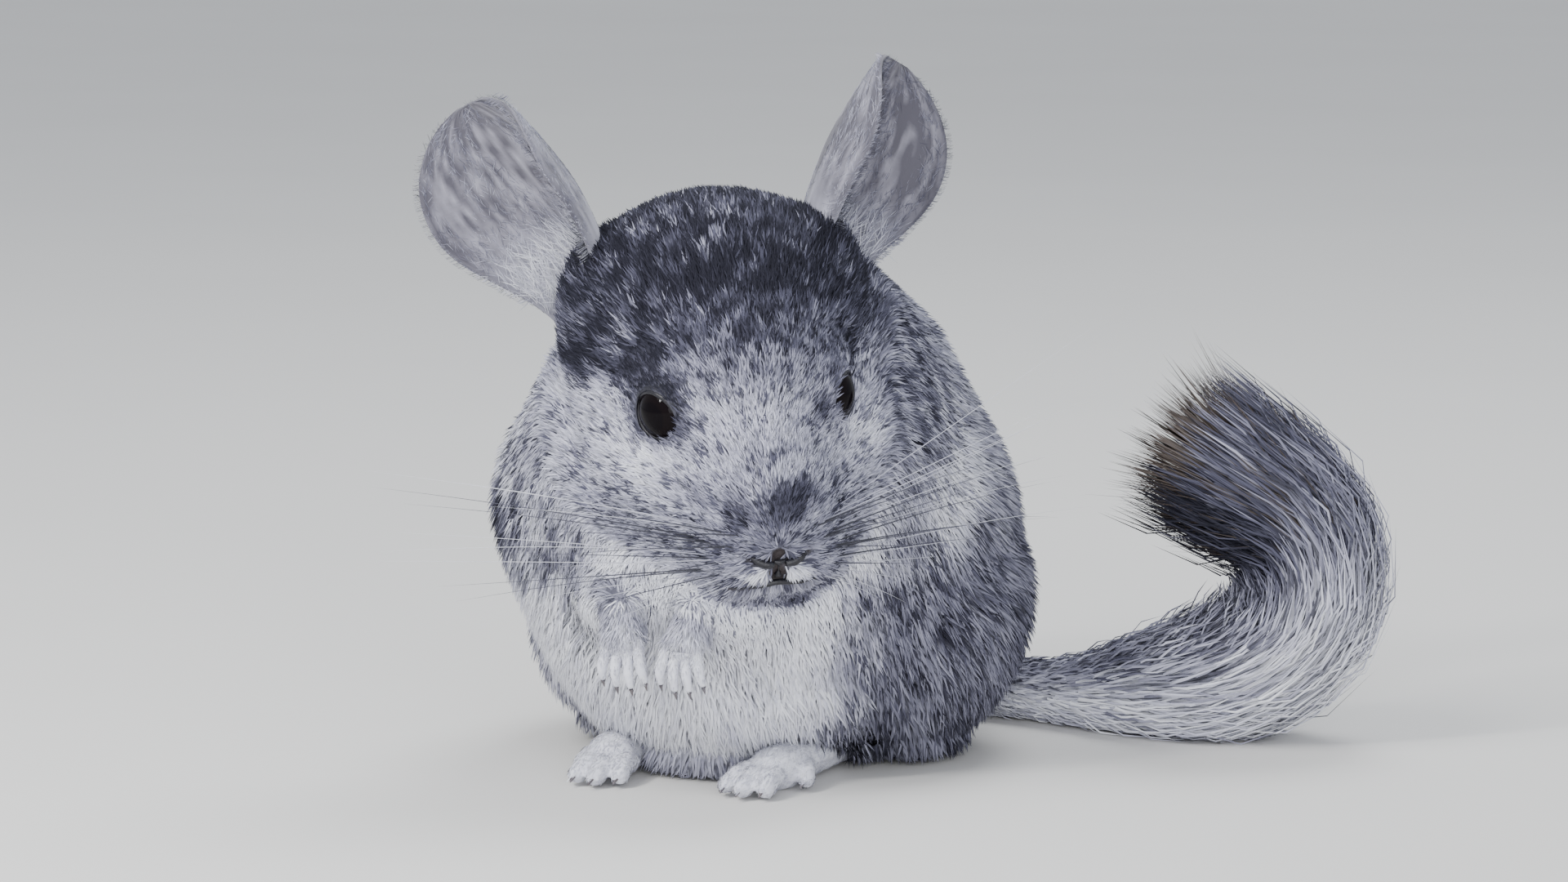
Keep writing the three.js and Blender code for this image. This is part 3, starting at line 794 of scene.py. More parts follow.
class Finish:
    """One material and its nodes."""

    def __init__(self, name):
        self.material = bpy.data.materials.new(name)
        self.material.use_nodes = True
        self.tree = self.material.node_tree
        self.shader = self.tree.nodes["Principled BSDF"]

    def node(self, kind, settings=None, values=None):
        made = self.tree.nodes.new(kind)
        for word, setting in (settings or {}).items():
            if word == "stops":
                ramp = made.color_ramp
                while len(ramp.elements) < len(setting):
                    ramp.elements.new(0.5)
                for element, (place, colour) in zip(ramp.elements, setting):
                    element.position = place
                    element.color = (*colour, 1)
            else:
                setattr(made, word, setting)
        for socket, value in (values or {}).items():
            self.feed(made.inputs[socket], value)
        return Made(self, made)

    def feed(self, socket, value):
        if isinstance(value, Value):
            self.tree.links.new(value.socket, socket)
        else:
            socket.default_value = value

    def mark(self, name):
        """A number kept on the mesh."""
        return self.node("ShaderNodeAttribute", {"attribute_name": name}).out("Fac")

    def grain(self, size, detail):
        """Noise from 0 to 1 with lumps about size metres across."""
        place = self.node("ShaderNodeTexCoord").out("Object")
        values = {"Vector": place, "Scale": 1 / size, "Detail": detail}
        return self.node("ShaderNodeTexNoise", None, values).out("Fac")

    def ramp(self, value, stops):
        return self.node("ShaderNodeValToRGB", {"stops": stops}, {"Fac": value}).out("Color")

    def blend(self, amount, first, second):
        values = {"Factor": amount, 6: first, 7: second}
        return self.node("ShaderNodeMix", {"data_type": "RGBA"}, values).out(2)

    def bump(self, height, strength, depth):
        values = {"Height": height, "Strength": strength, "Distance": depth}
        return self.node("ShaderNodeBump", None, values).out("Normal")

    def set(self, **sockets):
        for word, value in sockets.items():
            socket = word.replace("_", " ").title().replace("Ior", "IOR")
            self.feed(self.shader.inputs[socket], value)
        return self.material


def rgb(colour):
    return (*colour[:3], 1)


def fur_finish(colours):
    """Hair: slate at the root, partly the hair's own slate and partly painted shade deep in the
    coat, pale or dark by its markings, with some black tips.
    """
    f = Finish("fur")
    shade, along, kind = f.mark("shade"), f.mark("along"), f.mark("kind")
    tone = (shade + (kind - 0.5) * 0.26).held()
    stops = [
        (0.0, colours.black[:3]),
        (0.3, colours.slate[:3]),
        (0.55, colours.silver[:3]),
        (0.78, colours.pale[:3]),
        (1.0, colours.white[:3]),
    ]
    colour = f.ramp(tone, stops)
    # Darker roots: the slate underfur, and painted shade deep in the coat, weaker on pale hair.
    root = (1 - along * 2.2).held() * (1.25 - shade).held()
    colour = f.blend(root * 0.8, colour, rgb(colours.under))
    ticked = ((kind - 0.74) * 14.0).held() * ((along - 0.3) * 3.0).held()
    ticked = ticked * ((0.98 - shade) * 2.6).held()
    colour = f.blend(ticked * 0.85, colour, rgb(colours.black))
    return f.set(base_color=colour, roughness=0.85, specular_ior_level=0.2)


def skin_finish(colours):
    """Skin seen between the hairs, with the coat's markings made darker: partly the slate
    underfur, partly painted shade deep in the coat; near-black where bare, as painted shade in the
    nostrils, the cleft and the mouth line.
    """
    f = Finish("skin_under_fur")
    shade, bare = f.mark("shade"), f.mark("bare")
    grain = f.grain(0.0012, 3.0)
    colour = f.ramp(
        (shade * 0.8 + (grain - 0.5) * 0.3).held(),
        [(0.0, colours.black[:3]), (0.5, colours.under[:3]), (1.0, colours.silver[:3])],
    )
    # Bare places take the lips' near-black: painted shade in the nostrils, the cleft and the
    # mouth's crease.
    colour = f.blend(bare, colour, rgb(colours.lips))
    return f.set(
        base_color=colour,
        roughness=0.75 + bare * -0.2,
        normal=f.bump(grain, 0.4, 0.0006),
    )


def ear_finish(colours):
    """Thin ear skin: grey with cloudy blotches, fine hair along it and a dark rim; painted shade
    darkens it towards the top, along the fold and over the left ear.
    """
    f = Finish("ear_skin")
    rim, root, dim = f.mark("rim"), f.mark("root"), f.mark("dim")
    cloud = f.grain(0.008, 6.0)
    hair = f.mark("hair")
    tone = (0.56 - dim + (cloud - 0.5) * 1.1 + (hair - 0.5) * 0.9).held()
    colour = f.ramp(
        tone,
        [
            (0.0, colours.ear_dark[:3]),
            (0.5, colours.ear[:3]),
            (1.0, colours.ear_pale[:3]),
        ],
    )
    colour = f.blend(root * 0.55, colour, rgb(colours.pale))
    colour = f.blend(rim * 0.6, colour, rgb(colours.ear_dark))
    return f.set(
        base_color=colour,
        roughness=0.68 + (cloud - 0.5) * 0.2,
        normal=f.bump(hair, 0.5, 0.0005),
        sheen_weight=0.25,
    )


def eye_finish(colours):
    f = Finish("eye_gloss")
    ring = f.mark("ring")
    colour = f.blend(ring * 0.12, rgb(colours.eye), rgb(colours.iris))
    return f.set(base_color=colour, roughness=0.06, specular_ior_level=0.06)


def plain_finish(name, colour, other, size, roughness, depth=0.0003):
    """A finish with a little grain in its colour and its surface."""
    f = Finish(name)
    grain = f.grain(size, 3.0)
    return f.set(
        base_color=f.blend(grain, rgb(colour), rgb(other)),
        roughness=roughness + (grain - 0.5) * 0.15,
        normal=f.bump(grain, 0.4, depth),
    )


def strand_finish(name, root, tip):
    f = Finish(name)
    along = f.mark("along")
    return f.set(base_color=f.blend(along, rgb(root), rgb(tip)), roughness=0.45)


# Settings


def length(name, words, default):
    return bpy.props.FloatProperty(
        name=name, description=words, default=default, unit="LENGTH", precision=4, min=0.0
    )


def colour(name, words, default):
    return bpy.props.FloatVectorProperty(
        name=name, description=words, default=default, size=3, subtype="COLOR", min=0, max=1
    )


def angle(name, words, degrees):
    return bpy.props.FloatProperty(
        name=name, description=words, default=math.radians(degrees), subtype="ANGLE"
    )


class CoatSizes(bpy.types.PropertyGroup):
    body_depth: length("Body coat depth", "From the skin to the outside of the body's fur", 0.0075)
    crown_depth: length("Crown coat depth", "Depth of the fur on top of the head", 0.0036)
    face_depth: length("Face coat depth", "Depth of the fur on the face", 0.0017)
    tail_base_depth: length("Tail base depth", "Depth of the short fur at the tail's root", 0.0012)
    body_hair: length("Body tuft length", "How far a tuft on the body lies along it", 0.0075)
    face_hair: length("Face tuft length", "How far a tuft on the face lies along it", 0.0022)
    whisker: length("Whisker length", "Length of the longest whisker", 0.075)
    density: bpy.props.FloatProperty(
        name="Tuft density", description="Share of the full number of tufts", default=1.0, min=0.05
    )
    seed: bpy.props.IntProperty(
        name="Seed", description="Start of the chance that spreads the tufts", default=7
    )


class CoatColours(bpy.types.PropertyGroup):
    black: colour("Black", "Dark hair tips and ticking", (0.012, 0.012, 0.02))
    slate: colour("Slate", "Dark parts of the coat", (0.085, 0.085, 0.125))
    silver: colour("Silver", "Middle grey of the coat", (0.30, 0.30, 0.385))
    pale: colour("Pale", "Pale bands of the hair", (0.60, 0.605, 0.71))
    white: colour("White", "Belly and chest", (0.86, 0.87, 0.93))
    # Under fur: the slate of the roots, also used as painted shade deep in the coat.
    under: colour("Under fur", "Slate roots of the hair", (0.10, 0.10, 0.135))
    # Lips: near-black painted shade for the hollows of the nostrils, the cleft and the line of the
    # mouth.
    lips: colour("Lips", "Bare skin in the nostrils and mouth", (0.03, 0.022, 0.024))
    nose: colour("Nose", "Paler bare skin of nose and lips", (0.085, 0.068, 0.062))
    ear: colour("Ear", "Ear skin", (0.27, 0.262, 0.315))
    ear_dark: colour("Dark ear", "Blotches and rim of the ear", (0.085, 0.08, 0.105))
    ear_pale: colour("Pale ear", "Pale parts of the ear", (0.44, 0.435, 0.51))
    eye: colour("Eye", "Eyeball", (0.004, 0.003, 0.004))
    iris: colour("Iris", "Faint brown of the iris", (0.02, 0.012, 0.01))
    tail_tip: colour("Tail tip", "Long dark hair of the tail", (0.022, 0.018, 0.018))
    tail_end: colour("Tail hair ends", "Ends of the tail's long hair", (0.075, 0.055, 0.045))
    claw: colour("Claw", "Claws", (0.16, 0.13, 0.12))


class StageSettings(bpy.types.PropertyGroup):
    floor: colour("Floor", "Colour of the floor", (0.78, 0.77, 0.74))
    key: bpy.props.FloatProperty(
        name="Key light", description="Power of the large soft light", default=9.0, unit="POWER"
    )
    azimuth: angle("Camera azimuth", "Camera's turn round the animal", 22)
    elevation: angle("Camera elevation", "Camera's angle above the floor", 8)


def sizes():
    return bpy.context.scene.chinchilla_sizes


def colours():
    return bpy.context.scene.chinchilla_colours


MATERIALS = {}


def material(name):
    """Finishes are made once and shared."""
    if name not in MATERIALS:
        c = colours()
        makers = {
            "fur": lambda: fur_finish(c),
            "skin": lambda: skin_finish(c),
            "ear": lambda: ear_finish(c),
            "eye": lambda: eye_finish(c),
            "lid": lambda: plain_finish("lid_skin", c.eye, c.black, 0.0008, 0.45),
            # Lip skin: painted shade of the mouth's crease, mottled with the paler skin of the
            # nose.
            "lips": lambda: plain_finish("lip_skin", c.lips, c.nose, 0.0012, 0.6),
            "hand": lambda: plain_finish("hand_skin", c.pale, c.white, 0.0018, 0.7),
            "plume": lambda: strand_finish("plume_hair", c.tail_tip, c.tail_end),
            "claw": lambda: plain_finish("claw_horn", c.claw, c.under, 0.002, 0.35),
            "dark_strand": lambda: strand_finish("dark_whisker", c.black, c.slate),
            "pale_strand": lambda: strand_finish("pale_whisker", c.silver, c.white),
        }
        MATERIALS[name] = makers[name]()
    return MATERIALS[name]


def rooted(piece, slot, *nodes):
    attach(piece, "root")
    if nodes:
        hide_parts(*nodes)


# Skin

MOUTH_LINE = [(-9.5, -15.8), (-5, -15.3), (0, -14.4), (5, -15.3), (9.5, -15.8)]
NOSTRIL = [(1.3, -9.1), (3.2, -9.0), (4.8, -8.3), (5.9, -7.6)]


def bare_share(p):
    """1 where the skin shows bare: in the nostrils, the cleft and the line of the mouth."""
    h = into_head(p)
    m = np.column_stack([np.abs(h[:, 0]), h[:, 2]])
    front = h[:, 1] < -38
    gaps = [np.linalg.norm(m - np.array([0, -7.4]), axis=1) - 0.5]
    gaps.append(np.linalg.norm(m - np.array([0, -12.2]), axis=1) - 0.9)
    for line in (NOSTRIL, [(0, -9), (0, -14)], MOUTH_LINE[2:]):
        gaps.append(line_distance(m, *line))
    return (1 - smooth(0.7, 1.9, np.min(gaps, axis=0))) * front


def build_skin():
    voxel = 0.0009
    mesh = fused([*FLESH, "tail_base"], voxel, 0.0005)
    outermost(mesh)
    p, edges = points_of(mesh), edges_of(mesh)
    on_head = head_share(p)
    still = 0.12 + 0.88 * smooth(1, 9, eye_distance(p))
    still *= 0.25 + 0.75 * smooth(1, 8, off_head(p))
    weight = 0.5 * (1 - on_head * 0.5) * still
    p = relax(p, edges, weight, 36)
    move_points(mesh, p)
    depth = coat_depth(p, sizes()) + 0.0004
    depth += 0.0011 * bare_share(p)
    n = normals_of(mesh)
    p = p - n * depth[:, None]
    p = relax(p, edges, 0.35 * (1 - on_head), 4)
    p[:, 2] = np.maximum(p[:, 2], 0.0002)
    move_points(mesh, p)
    add_marks(mesh, {"shade": shade_at(p), "bare": bare_share(p)})
    covered("skin", mesh, "skin", "grey_fur", *FLESH)


def covered(name, mesh, finish, slot, *nodes):
    """A remeshed body with its finish, in the place of its nodes."""
    mesh.shade_smooth()
    mesh.materials.clear()
    mesh.materials.append(material(finish))
    rooted(placed(name, mesh), slot, *nodes)


def build_feet():
    mesh = fused(FEET, 0.0006, 0.0001)
    p, edges = points_of(mesh), edges_of(mesh)
    p = relax(p, edges, np.full(len(p), 0.4), 5)
    p[:, 2] = np.maximum(p[:, 2], 0.0)
    move_points(mesh, p)
    covered("feet", mesh, "hand", "white_fur", *FEET)


# The left hand in world millimetres: places and radii from the wrist to the knuckles
PALM = [
    (8.6, -54.6, 41.5, 3.0),
    (7.8, -56.6, 37, 3.3),
    (7, -58.4, 33, 3.9),
    (6.8, -58.6, 30.4, 2.4),
]
FINGER_ROOT = (6.7, -59.4, 32)
FINGERS = [(-3.8, 6.4), (-1.3, 7.8), (1.25, 7.6), (3.7, 6.2)]  # sideways place and length
FINGER_RADII = (0.8, 1.25, 1.1, 0.65)


def finger_line(side, spread, long):
    """From the palm over the knuckle to the tip."""
    x, y, z = FINGER_ROOT
    steps = [
        (0.8, 0.6, 3.4),
        (0.95, -0.7, -0.4),
        (1.2, -1.3, -0.6 * long),
        (1.3, 0.2, -long - 0.6),
    ]
    return [(side * (x + spread * wide), y + dy, z + dz) for wide, dy, dz in steps]


def build_hands():
    parts = []
    chain = np.array([(i, i + 1) for i in range(12)])
    for side in (1, -1):
        palm = spread_over(PALM, 16) * MM
        palm[:, 0] *= side
        parts.append(tube("palm", palm[:, :3], palm[:, 3], sides=20))
        for spread, long in FINGERS:
            knots = np.column_stack([finger_line(side, spread, long), FINGER_RADII])
            finger = spread_over(knots, 13)
            line = relax(finger[:, :3], chain, np.full(13, 0.3), 2)
            parts.append(tube("finger", line * MM, finger[:, 3] * MM, sides=12))
    made = joined("hands", parts)
    made.data.materials.append(material("hand"))
    rooted(made, "white_fur", *HANDS)


# Coat

REGIONS = {
    "coat_face_left": 4.2,
    "coat_face_right": 4.2,
    "coat_crown": 3.0,
    "coat_chest": 2.0,
    "coat_left_flank": 2.0,
    "coat_right_flank": 2.0,
    "coat_back": 1.6,
    "coat_left_haunch": 1.8,
    "coat_right_haunch": 1.5,
    "coat_tail_root": 2.5,
}


def region_of(p):
    """Which coat piece each root belongs to."""
    h = into_head(p)
    x, y, z = (p / MM).T
    along, off = near_tail(p)
    round_it = np.degrees(np.arctan2(x, -(y - 6)))
    on_head = head_share(p) > 0.5
    names = np.full(len(p), "coat_left_haunch", dtype=object)
    names[x < 0] = "coat_right_haunch"
    names[z > 42] = "coat_back"
    names[(z > 42) & (round_it > 48) & (round_it < 130)] = "coat_left_flank"
    names[(z > 42) & (round_it < -48) & (round_it > -130)] = "coat_right_flank"
    names[np.abs(round_it + 5) < 53] = "coat_chest"
    names[on_head] = "coat_crown"
    names[on_head & (h[:, 1] < -6) & (h[:, 0] > 0)] = "coat_face_left"
    names[on_head & (h[:, 1] < -6) & (h[:, 0] <= 0)] = "coat_face_right"
    names[(off < 10) & (along > 12) & ~on_head] = "coat_tail_root"
    return names


MOST_TUFTS = 19000


def in_socket(p, n):
    """Whether skin at p lines the hole that an eyeball sits in."""
    h = into_head(p)
    turned = n @ HEAD_TURNED
    inside = np.zeros(len(p), bool)
    for side in (1, -1):
        away = h - eye_centre(side)
        near = np.linalg.norm(away, axis=1) < EYE_RADIUS + 3
        inside |= near & ((away * turned).sum(axis=1) < 0)
    return inside


def build_coat():
    skin = bpy.data.objects["skin"].data
    s = sizes()
    rng = np.random.default_rng(s.seed)

    def density(p):
        names = region_of(p)
        value = np.array([REGIONS[n] for n in names])
        value[p[:, 2] < 0.0012] = 0
        value *= smooth(0.98, 1.06, eye_opening(p))
        value[(p[:, 2] < 0.004) & (np.abs(p[:, 0]) < 0.035)] *= 0.3
        value *= 1 - np.clip(bare_share(p) * 1.6, 0, 1)
        h = into_head(p)
        value *= 1 + 1.2 * np.exp(-(((h - np.array(NOSE_TIP)) / 13) ** 2).sum(axis=1))
        return value * s.density * 1

    roots, n = scatter(skin, density, rng)
    shown = ~in_socket(roots, n)
    roots, n = roots[shown], n[shown]
    names = region_of(roots)
    depth = coat_depth(roots, s)
    flow = lie(roots, n)
    shade = shade_at(roots + flow * 0.0006)
    share = np.clip(depth / s.body_depth, 0, 1)
    long = s.face_hair + (s.body_hair - s.face_hair) * share
    wide = 0.00034 + 0.0005 * share
    for word in REGIONS:
        chosen = np.flatnonzero(names == word)
        if len(chosen) > MOST_TUFTS:
            chosen = np.sort(rng.choice(chosen, MOST_TUFTS, replace=False))
        if not len(chosen):
            continue
        on_face = "face" in word or "crown" in word
        centre = from_head((0, -8, 0)) if on_face else (0, 0.005, 0.055)
        made = tufts(
            word,
            roots[chosen],
            n[chosen],
            flow[chosen],
            long[chosen],
            depth[chosen],
            wide[chosen],
            shade[chosen],
            rng,
            unrolled(roots[chosen], centre),
        )
        rooted(made, "grey_fur")


def build_limb_fur():
    """Very short fur on hands and feet."""
    rng = np.random.default_rng(sizes().seed + 1)
    for name, towards in (("hands", (0, -0.15, -1)), ("feet", (0, -1, -0.2))):
        mesh = bpy.data.objects[name].data

        def density(p):
            value = np.full(len(p), 2.6 if name == "feet" else 5.0)
            value[p[:, 2] < 0.0009] = 0
            if name == "hands":
                value *= 0.1 + 0.9 * smooth(0.028, 0.033, p[:, 2])
            return value * sizes().density * 1

        roots, n = scatter(mesh, density, rng)
        flow = np.broadcast_to(np.array(towards, float), n.shape)
        flow = unit(flow - n * (flow * n).sum(axis=1, keepdims=True))
        count = len(roots)
        shade = 0.86 + 0.3 * (noise(roots / MM, 2.4, 31) - 0.5)
        arm = smooth(0.0325, 0.038, roots[:, 2]) if name == "hands" else np.zeros(count)
        shade -= 0.16 * arm
        made = tufts(
            f"coat_{name}",
            roots,
            n,
            flow,
            0.0012 + 0.0034 * arm,
            0.0002 + 0.0013 * arm,
            0.00024 + 0.00012 * arm,
            np.clip(shade, 0, 1),
            rng,
            unrolled(roots, roots.mean(axis=0)),
        )
        rooted(made, "white_fur")


# Ears


def ear_point(side, s, t, offset):
    """A place on the ear in head millimetres: s runs up it, t from edge to edge."""
    angles = (EAR_LEAN_OUT[side], EAR_LEAN_BACK, EAR_FACES[side])
    lean, back, faces = (math.radians(a) for a in angles)
    up = unit(np.array([side * math.sin(lean), math.sin(back), math.cos(back) * math.cos(lean)]))
    facing = np.array([side * math.sin(faces), -math.cos(faces), 0])
    facing = unit(facing - up * (facing @ up))
    across = np.cross(up, facing)
    opened = smooth(0, EAR_WIDEST, s)
    closing = np.maximum(s - EAR_WIDEST, 0) / (1 - EAR_WIDEST)
    half = (EAR_HALF_WIDTH[0] + (EAR_HALF_WIDTH[1] - EAR_HALF_WIDTH[0]) * opened) * np.sqrt(
        np.maximum(1 - closing * closing, 0)
    )
    bend = EAR_BEND[0] + (EAR_BEND[1] - EAR_BEND[0]) * opened
    bow = 5 * np.sin(np.pi * s * 0.8)
    angle = t * half / bend
    r = bend + offset
    middle = np.array([side * EAR_ROOT[0], EAR_ROOT[1], EAR_ROOT[2]])
    return (
        middle
        + np.outer(EAR_LENGTH * s, up)
        + np.outer(r * np.sin(angle), across)
        + np.outer(bend - r * np.cos(angle) - bow, facing)
    )


def build_ear(word, side):
    rows, spans = 64, 48
    s = 0.992 * (1 - (1 - np.linspace(0, 1, rows)) ** 1.5)
    t = np.linspace(-1, 1, spans)
    thick = 1.1
    rings, rim, root, hair, dim = [], [], [], [], []
    grid = np.random.default_rng(5 if side > 0 else 6)
    strands = grid.uniform(0, 1, (rows // 5 + 2, 4 * spans))
    for k in range(rows):
        ring, marks = [], []
        for face, order in ((1, t), (-1, t[::-1])):
            edge = 1 - np.abs(order) ** 10
            vein = 0.35 * np.sin(order * 9 + 3 * s[k]) * np.sin(s[k] * 7)
            offset = face * thick / 2 * np.sqrt(np.maximum(edge, 0.02)) + vein
            ring.append(ear_point(side, np.full(spans, s[k]), order, offset))
            marks.append(np.abs(order))
        ring, mark = np.concatenate(ring), np.concatenate(marks)
        rings.append(from_head(ring))
        up_edge = smooth(0.86, 1.0, s[k])
        rim.append(np.maximum(smooth(0.86, 1.0, mark), up_edge))
        root.append(np.full(len(mark), 1 - smooth(0.2, 0.5, s[k])))
        across = -side * np.concatenate([t, t[::-1]])
        # Painted shade: darker towards the top, along the fold and over the whole left ear, with a
        # little painted light on the flap beyond the fold.
        fold = np.exp(-(((across - 0.5) / 0.045) ** 2)) * smooth(0.08, 0.2, s[k])
        shadow = 0.16 + 0.16 * smooth(0.3, 0.8, s[k]) + (0.16 if side > 0 else 0)
        dim.append(shadow + 0.5 * fold * (1 - smooth(0.7, 0.95, s[k])) - 0.1 * (across > 0.5))
        low = k / 5
        a, b = strands[int(low)], strands[int(low) + 1]
        line = a + (b - a) * (low - int(low))
        hair.append(line[: len(mark)])
    marks = {
        word: np.concatenate([np.concatenate(values), [0, values[-1][0]]])
        for word, values in (("rim", rim), ("root", root), ("hair", hair), ("dim", dim))
    }
    made = sheet_of_rings(f"ear_{word}_skin", rings, marks=marks)
    made.data.materials.append(material("ear"))
    rooted(made, "ear_skin", f"ear_{word}")
    build_ear_fur(word, side)


def build_ear_fur(word, side):
    """Fine pale hair: a fringe at the edge, down on both faces, longer in the cup's foot."""
    rng = np.random.default_rng(40 + side)
    count = 6400
    s = np.concatenate([rng.uniform(0.2, 0.985, count // 6), rng.uniform(0.12, 0.97, count)])
    t = np.concatenate(
        [rng.choice([-0.995, 0.995], count // 6), rng.uniform(-0.98, 0.98, count)]
    )
    face = rng.choice([1, -1], len(s))
    spread = 0.55 * face
    root = ear_point(side, s, t, spread)
    other = ear_point(side, s, t, spread + face)
    higher = ear_point(side, np.minimum(s + 0.02, 0.999), t, spread)
    outward = ear_point(side, s, t + 0.02 * np.sign(t), spread)
    n = unit(other - root)
    up = unit(higher - root)
    edge = (np.abs(t) > 0.99)[:, None]
    n = np.where(edge, unit(outward - root + 0.3 * n), n)
    flow = unit(up + 0.35 * rng.normal(0, 1, up.shape))
    flow = unit(flow - n * (flow * n).sum(axis=1, keepdims=True))
    foot = (1 - smooth(0.22, 0.5, s)) * (face < 0)
    lengths = 0.0024 + 0.0055 * foot * rng.uniform(0.3, 1, len(s))
    height = np.where(edge[:, 0], 0.0013, 0.00022) + 0.0018 * foot
    lengths = np.where(edge[:, 0], 0.001, lengths)
    # Painted shade: hair on the cup's face darker, most on the left ear, and a dark line along the
    # fold.
    inner = 0.16 if side > 0 else 0.06
    shade = 0.58 + 0.36 * foot - inner * (face < 0) + 0.16 * rng.uniform(-1, 1, len(s))
    shade -= 0.4 * np.exp(-(((-side * t - 0.5) / 0.05) ** 2))
    shade = np.clip(shade, 0, 1)
    made = tufts(
        f"ear_{word}_fur",
        from_head(root),
        turn_from_head(n),
        turn_from_head(flow),
        lengths,
        height,
        np.full(len(s), 0.00009) + 0.0001 * foot,
        shade,
        rng,
        np.column_stack([0.05 + 0.9 * s, 0.5 + 0.45 * t]),
    )
    rooted(made, "ear_skin")


# Eyes


def build_eye(word, side):
    centre, axis, up, across = eye_frame(side)
    radius = EYE_RADIUS - 0.25
    rings, ring_mark = [], []
    for a in np.linspace(0.03, np.pi - 0.03, 40):
        turns = np.linspace(0, 2 * np.pi, 48, endpoint=False)
        bulge = radius + 0.35 * math.exp(-((a / 0.8) ** 2))
        around = np.outer(np.cos(turns), across) + np.outer(np.sin(turns), up)
        rings.append(from_head(centre + bulge * (math.cos(a) * axis + math.sin(a) * around)))
        ring_mark.append(np.full(48, smooth(0.42, 0.5, a) * (1 - smooth(0.75, 0.85, a))))
    marks = {"ring": np.concatenate([*ring_mark, [0, 0]])}
    made = sheet_of_rings(f"eyeball_{word}", rings, marks=marks)
    made.data.materials.append(material("eye"))
    rooted(made, "eye", f"eye_{word}")
    wide, high = LID_OPENING
    turns = np.linspace(0, 2 * np.pi, 64, endpoint=False)
    rim = []
    for a in turns:
        narrow = 1 - 0.22 * math.cos(a) ** 4
        x = math.cos(a) * wide * 0.93
        y = math.sin(a) * high * narrow * 0.93
        z = math.sqrt(max(EYE_RADIUS**2 - x * x - y * y, 4))
        rim.append(centre + x * across + y * up + z * axis)
    rim = np.array(rim)
    ahead = unit(np.roll(rim, -1, 0) - np.roll(rim, 1, 0))
    out = unit(rim - centre)
    side_way = np.cross(ahead, out)
    rings = []
    for b in np.linspace(0, 2 * np.pi, 10, endpoint=False):
        rings.append(from_head(rim + 0.4 * math.cos(b) * out + 0.6 * math.sin(b) * side_way))
    stack = [np.array([ring[k] for ring in rings]) for k in range(len(rim))]
    stack.append(stack[0])
    lid = sheet_of_rings(f"lids_{word}", stack, caps=False)
    b = bmesh.new()
    b.from_mesh(lid.data)
    bmesh.ops.remove_doubles(b, verts=b.verts, dist=1e-7)
    bmesh.ops.recalc_face_normals(b, faces=b.faces)
    b.to_mesh(lid.data)
    b.free()
    lid.data.materials.append(material("lid"))
    rooted(lid, "eye")


# Whiskers and claws


def build_whiskers():
    rng = np.random.default_rng(sizes().seed + 3)
    longest = sizes().whisker
    front = Front()
    kinds = {"dark": [], "pale": []}
    for side in (1, -1):
        for row in range(5):
            for column in range(5):
                root = front.at(side * (6.5 + 1.7 * column), -3.5 - 2.3 * row - 0.3 * column)
                long = longest * (0.42 + 0.14 * column) * rng.uniform(0.8, 1.05)
                long *= 1.3 if side > 0 else 1.06
                if row > 3:
                    long *= 0.55
                back = 0.2 + 0.13 * column
                out = np.array([side * (1 + 0.08 * column), back, 0.16 - 0.17 * row])
                out = unit(out + rng.normal(0, 0.05, 3))
                droop = rng.uniform(0.1, 0.26)
                steps = np.linspace(0, 1, 14)
                line = (
                    root
                    + np.outer(steps * long / MM, out)
                    + np.outer(steps**2 * long / MM, np.array([0, 0.15, -droop]))
                )
                dark = rng.uniform() < 0.55 and row < 4
                radii = (0.00018 if dark else 0.00013) * (1.02 - steps)
                made = tube(
                    "whisker",
                    from_head(line),
                    radii,
                    sides=4,
                    marks={"along": np.concatenate([np.repeat(steps, 4), [0, 1]])},
                )
                made.data.materials.append(material("dark_strand" if dark else "pale_strand"))
                kinds["dark" if dark else "pale"].append(made)
    for word, group in kinds.items():
        rooted(joined(f"whiskers_{word}", group), "grey_fur")


# Tips of the left hind foot's toes, in world millimetres
TOE_TIPS = [(12.33, -48.7), (16.97, -51.3), (21.755, -50), (26.25, -37.8)]


def claw(root, tip, radius):
    root, tip = np.array(root, float), np.array(tip, float)
    steps = np.linspace(0, 1, 7)
    arch = np.outer(0.35 * np.sin(steps * np.pi), [0, -0.5, 0.8])
    line = root + np.outer(steps, tip - root) + arch
    made = tube("claw", line * MM, radius * MM * (1.03 - steps) ** 0.7, sides=8)
    made.data.materials.append(material("claw"))
    return made


def build_claws():
    fore, hind = [], []
    for side in (1, -1):
        for spread, long in FINGERS:
            x, y, z = finger_line(side, spread, long)[-1]
            fore.append(claw((x, y, z), (x, y + 0.9, z - 1.7), 0.5))
        for x, y in TOE_TIPS:
            hind.append(claw((side * x, y + 0.3, 2.9), (side * x, y - 3.6, 1.3), 0.95))
    rooted(joined("claws_fore", fore), "white_fur")
    rooted(joined("claws_hind", hind), "white_fur")


# Nose and mouth


class Front:
    """The front of the muzzle: how far forward the skin lies at x and z in head millimetres."""

    def __init__(self):
        mesh = bpy.data.objects["skin"].data
        places = [Vector(v) for v in into_head(points_of(mesh))]
        self.tree = BVHTree.FromPolygons(places, triangles_of(mesh).tolist())

    def at(self, x, z):
        hit = self.tree.ray_cast(Vector((x, -80, z)), Vector((0, 1, 0)))[0]
        return np.array(hit)


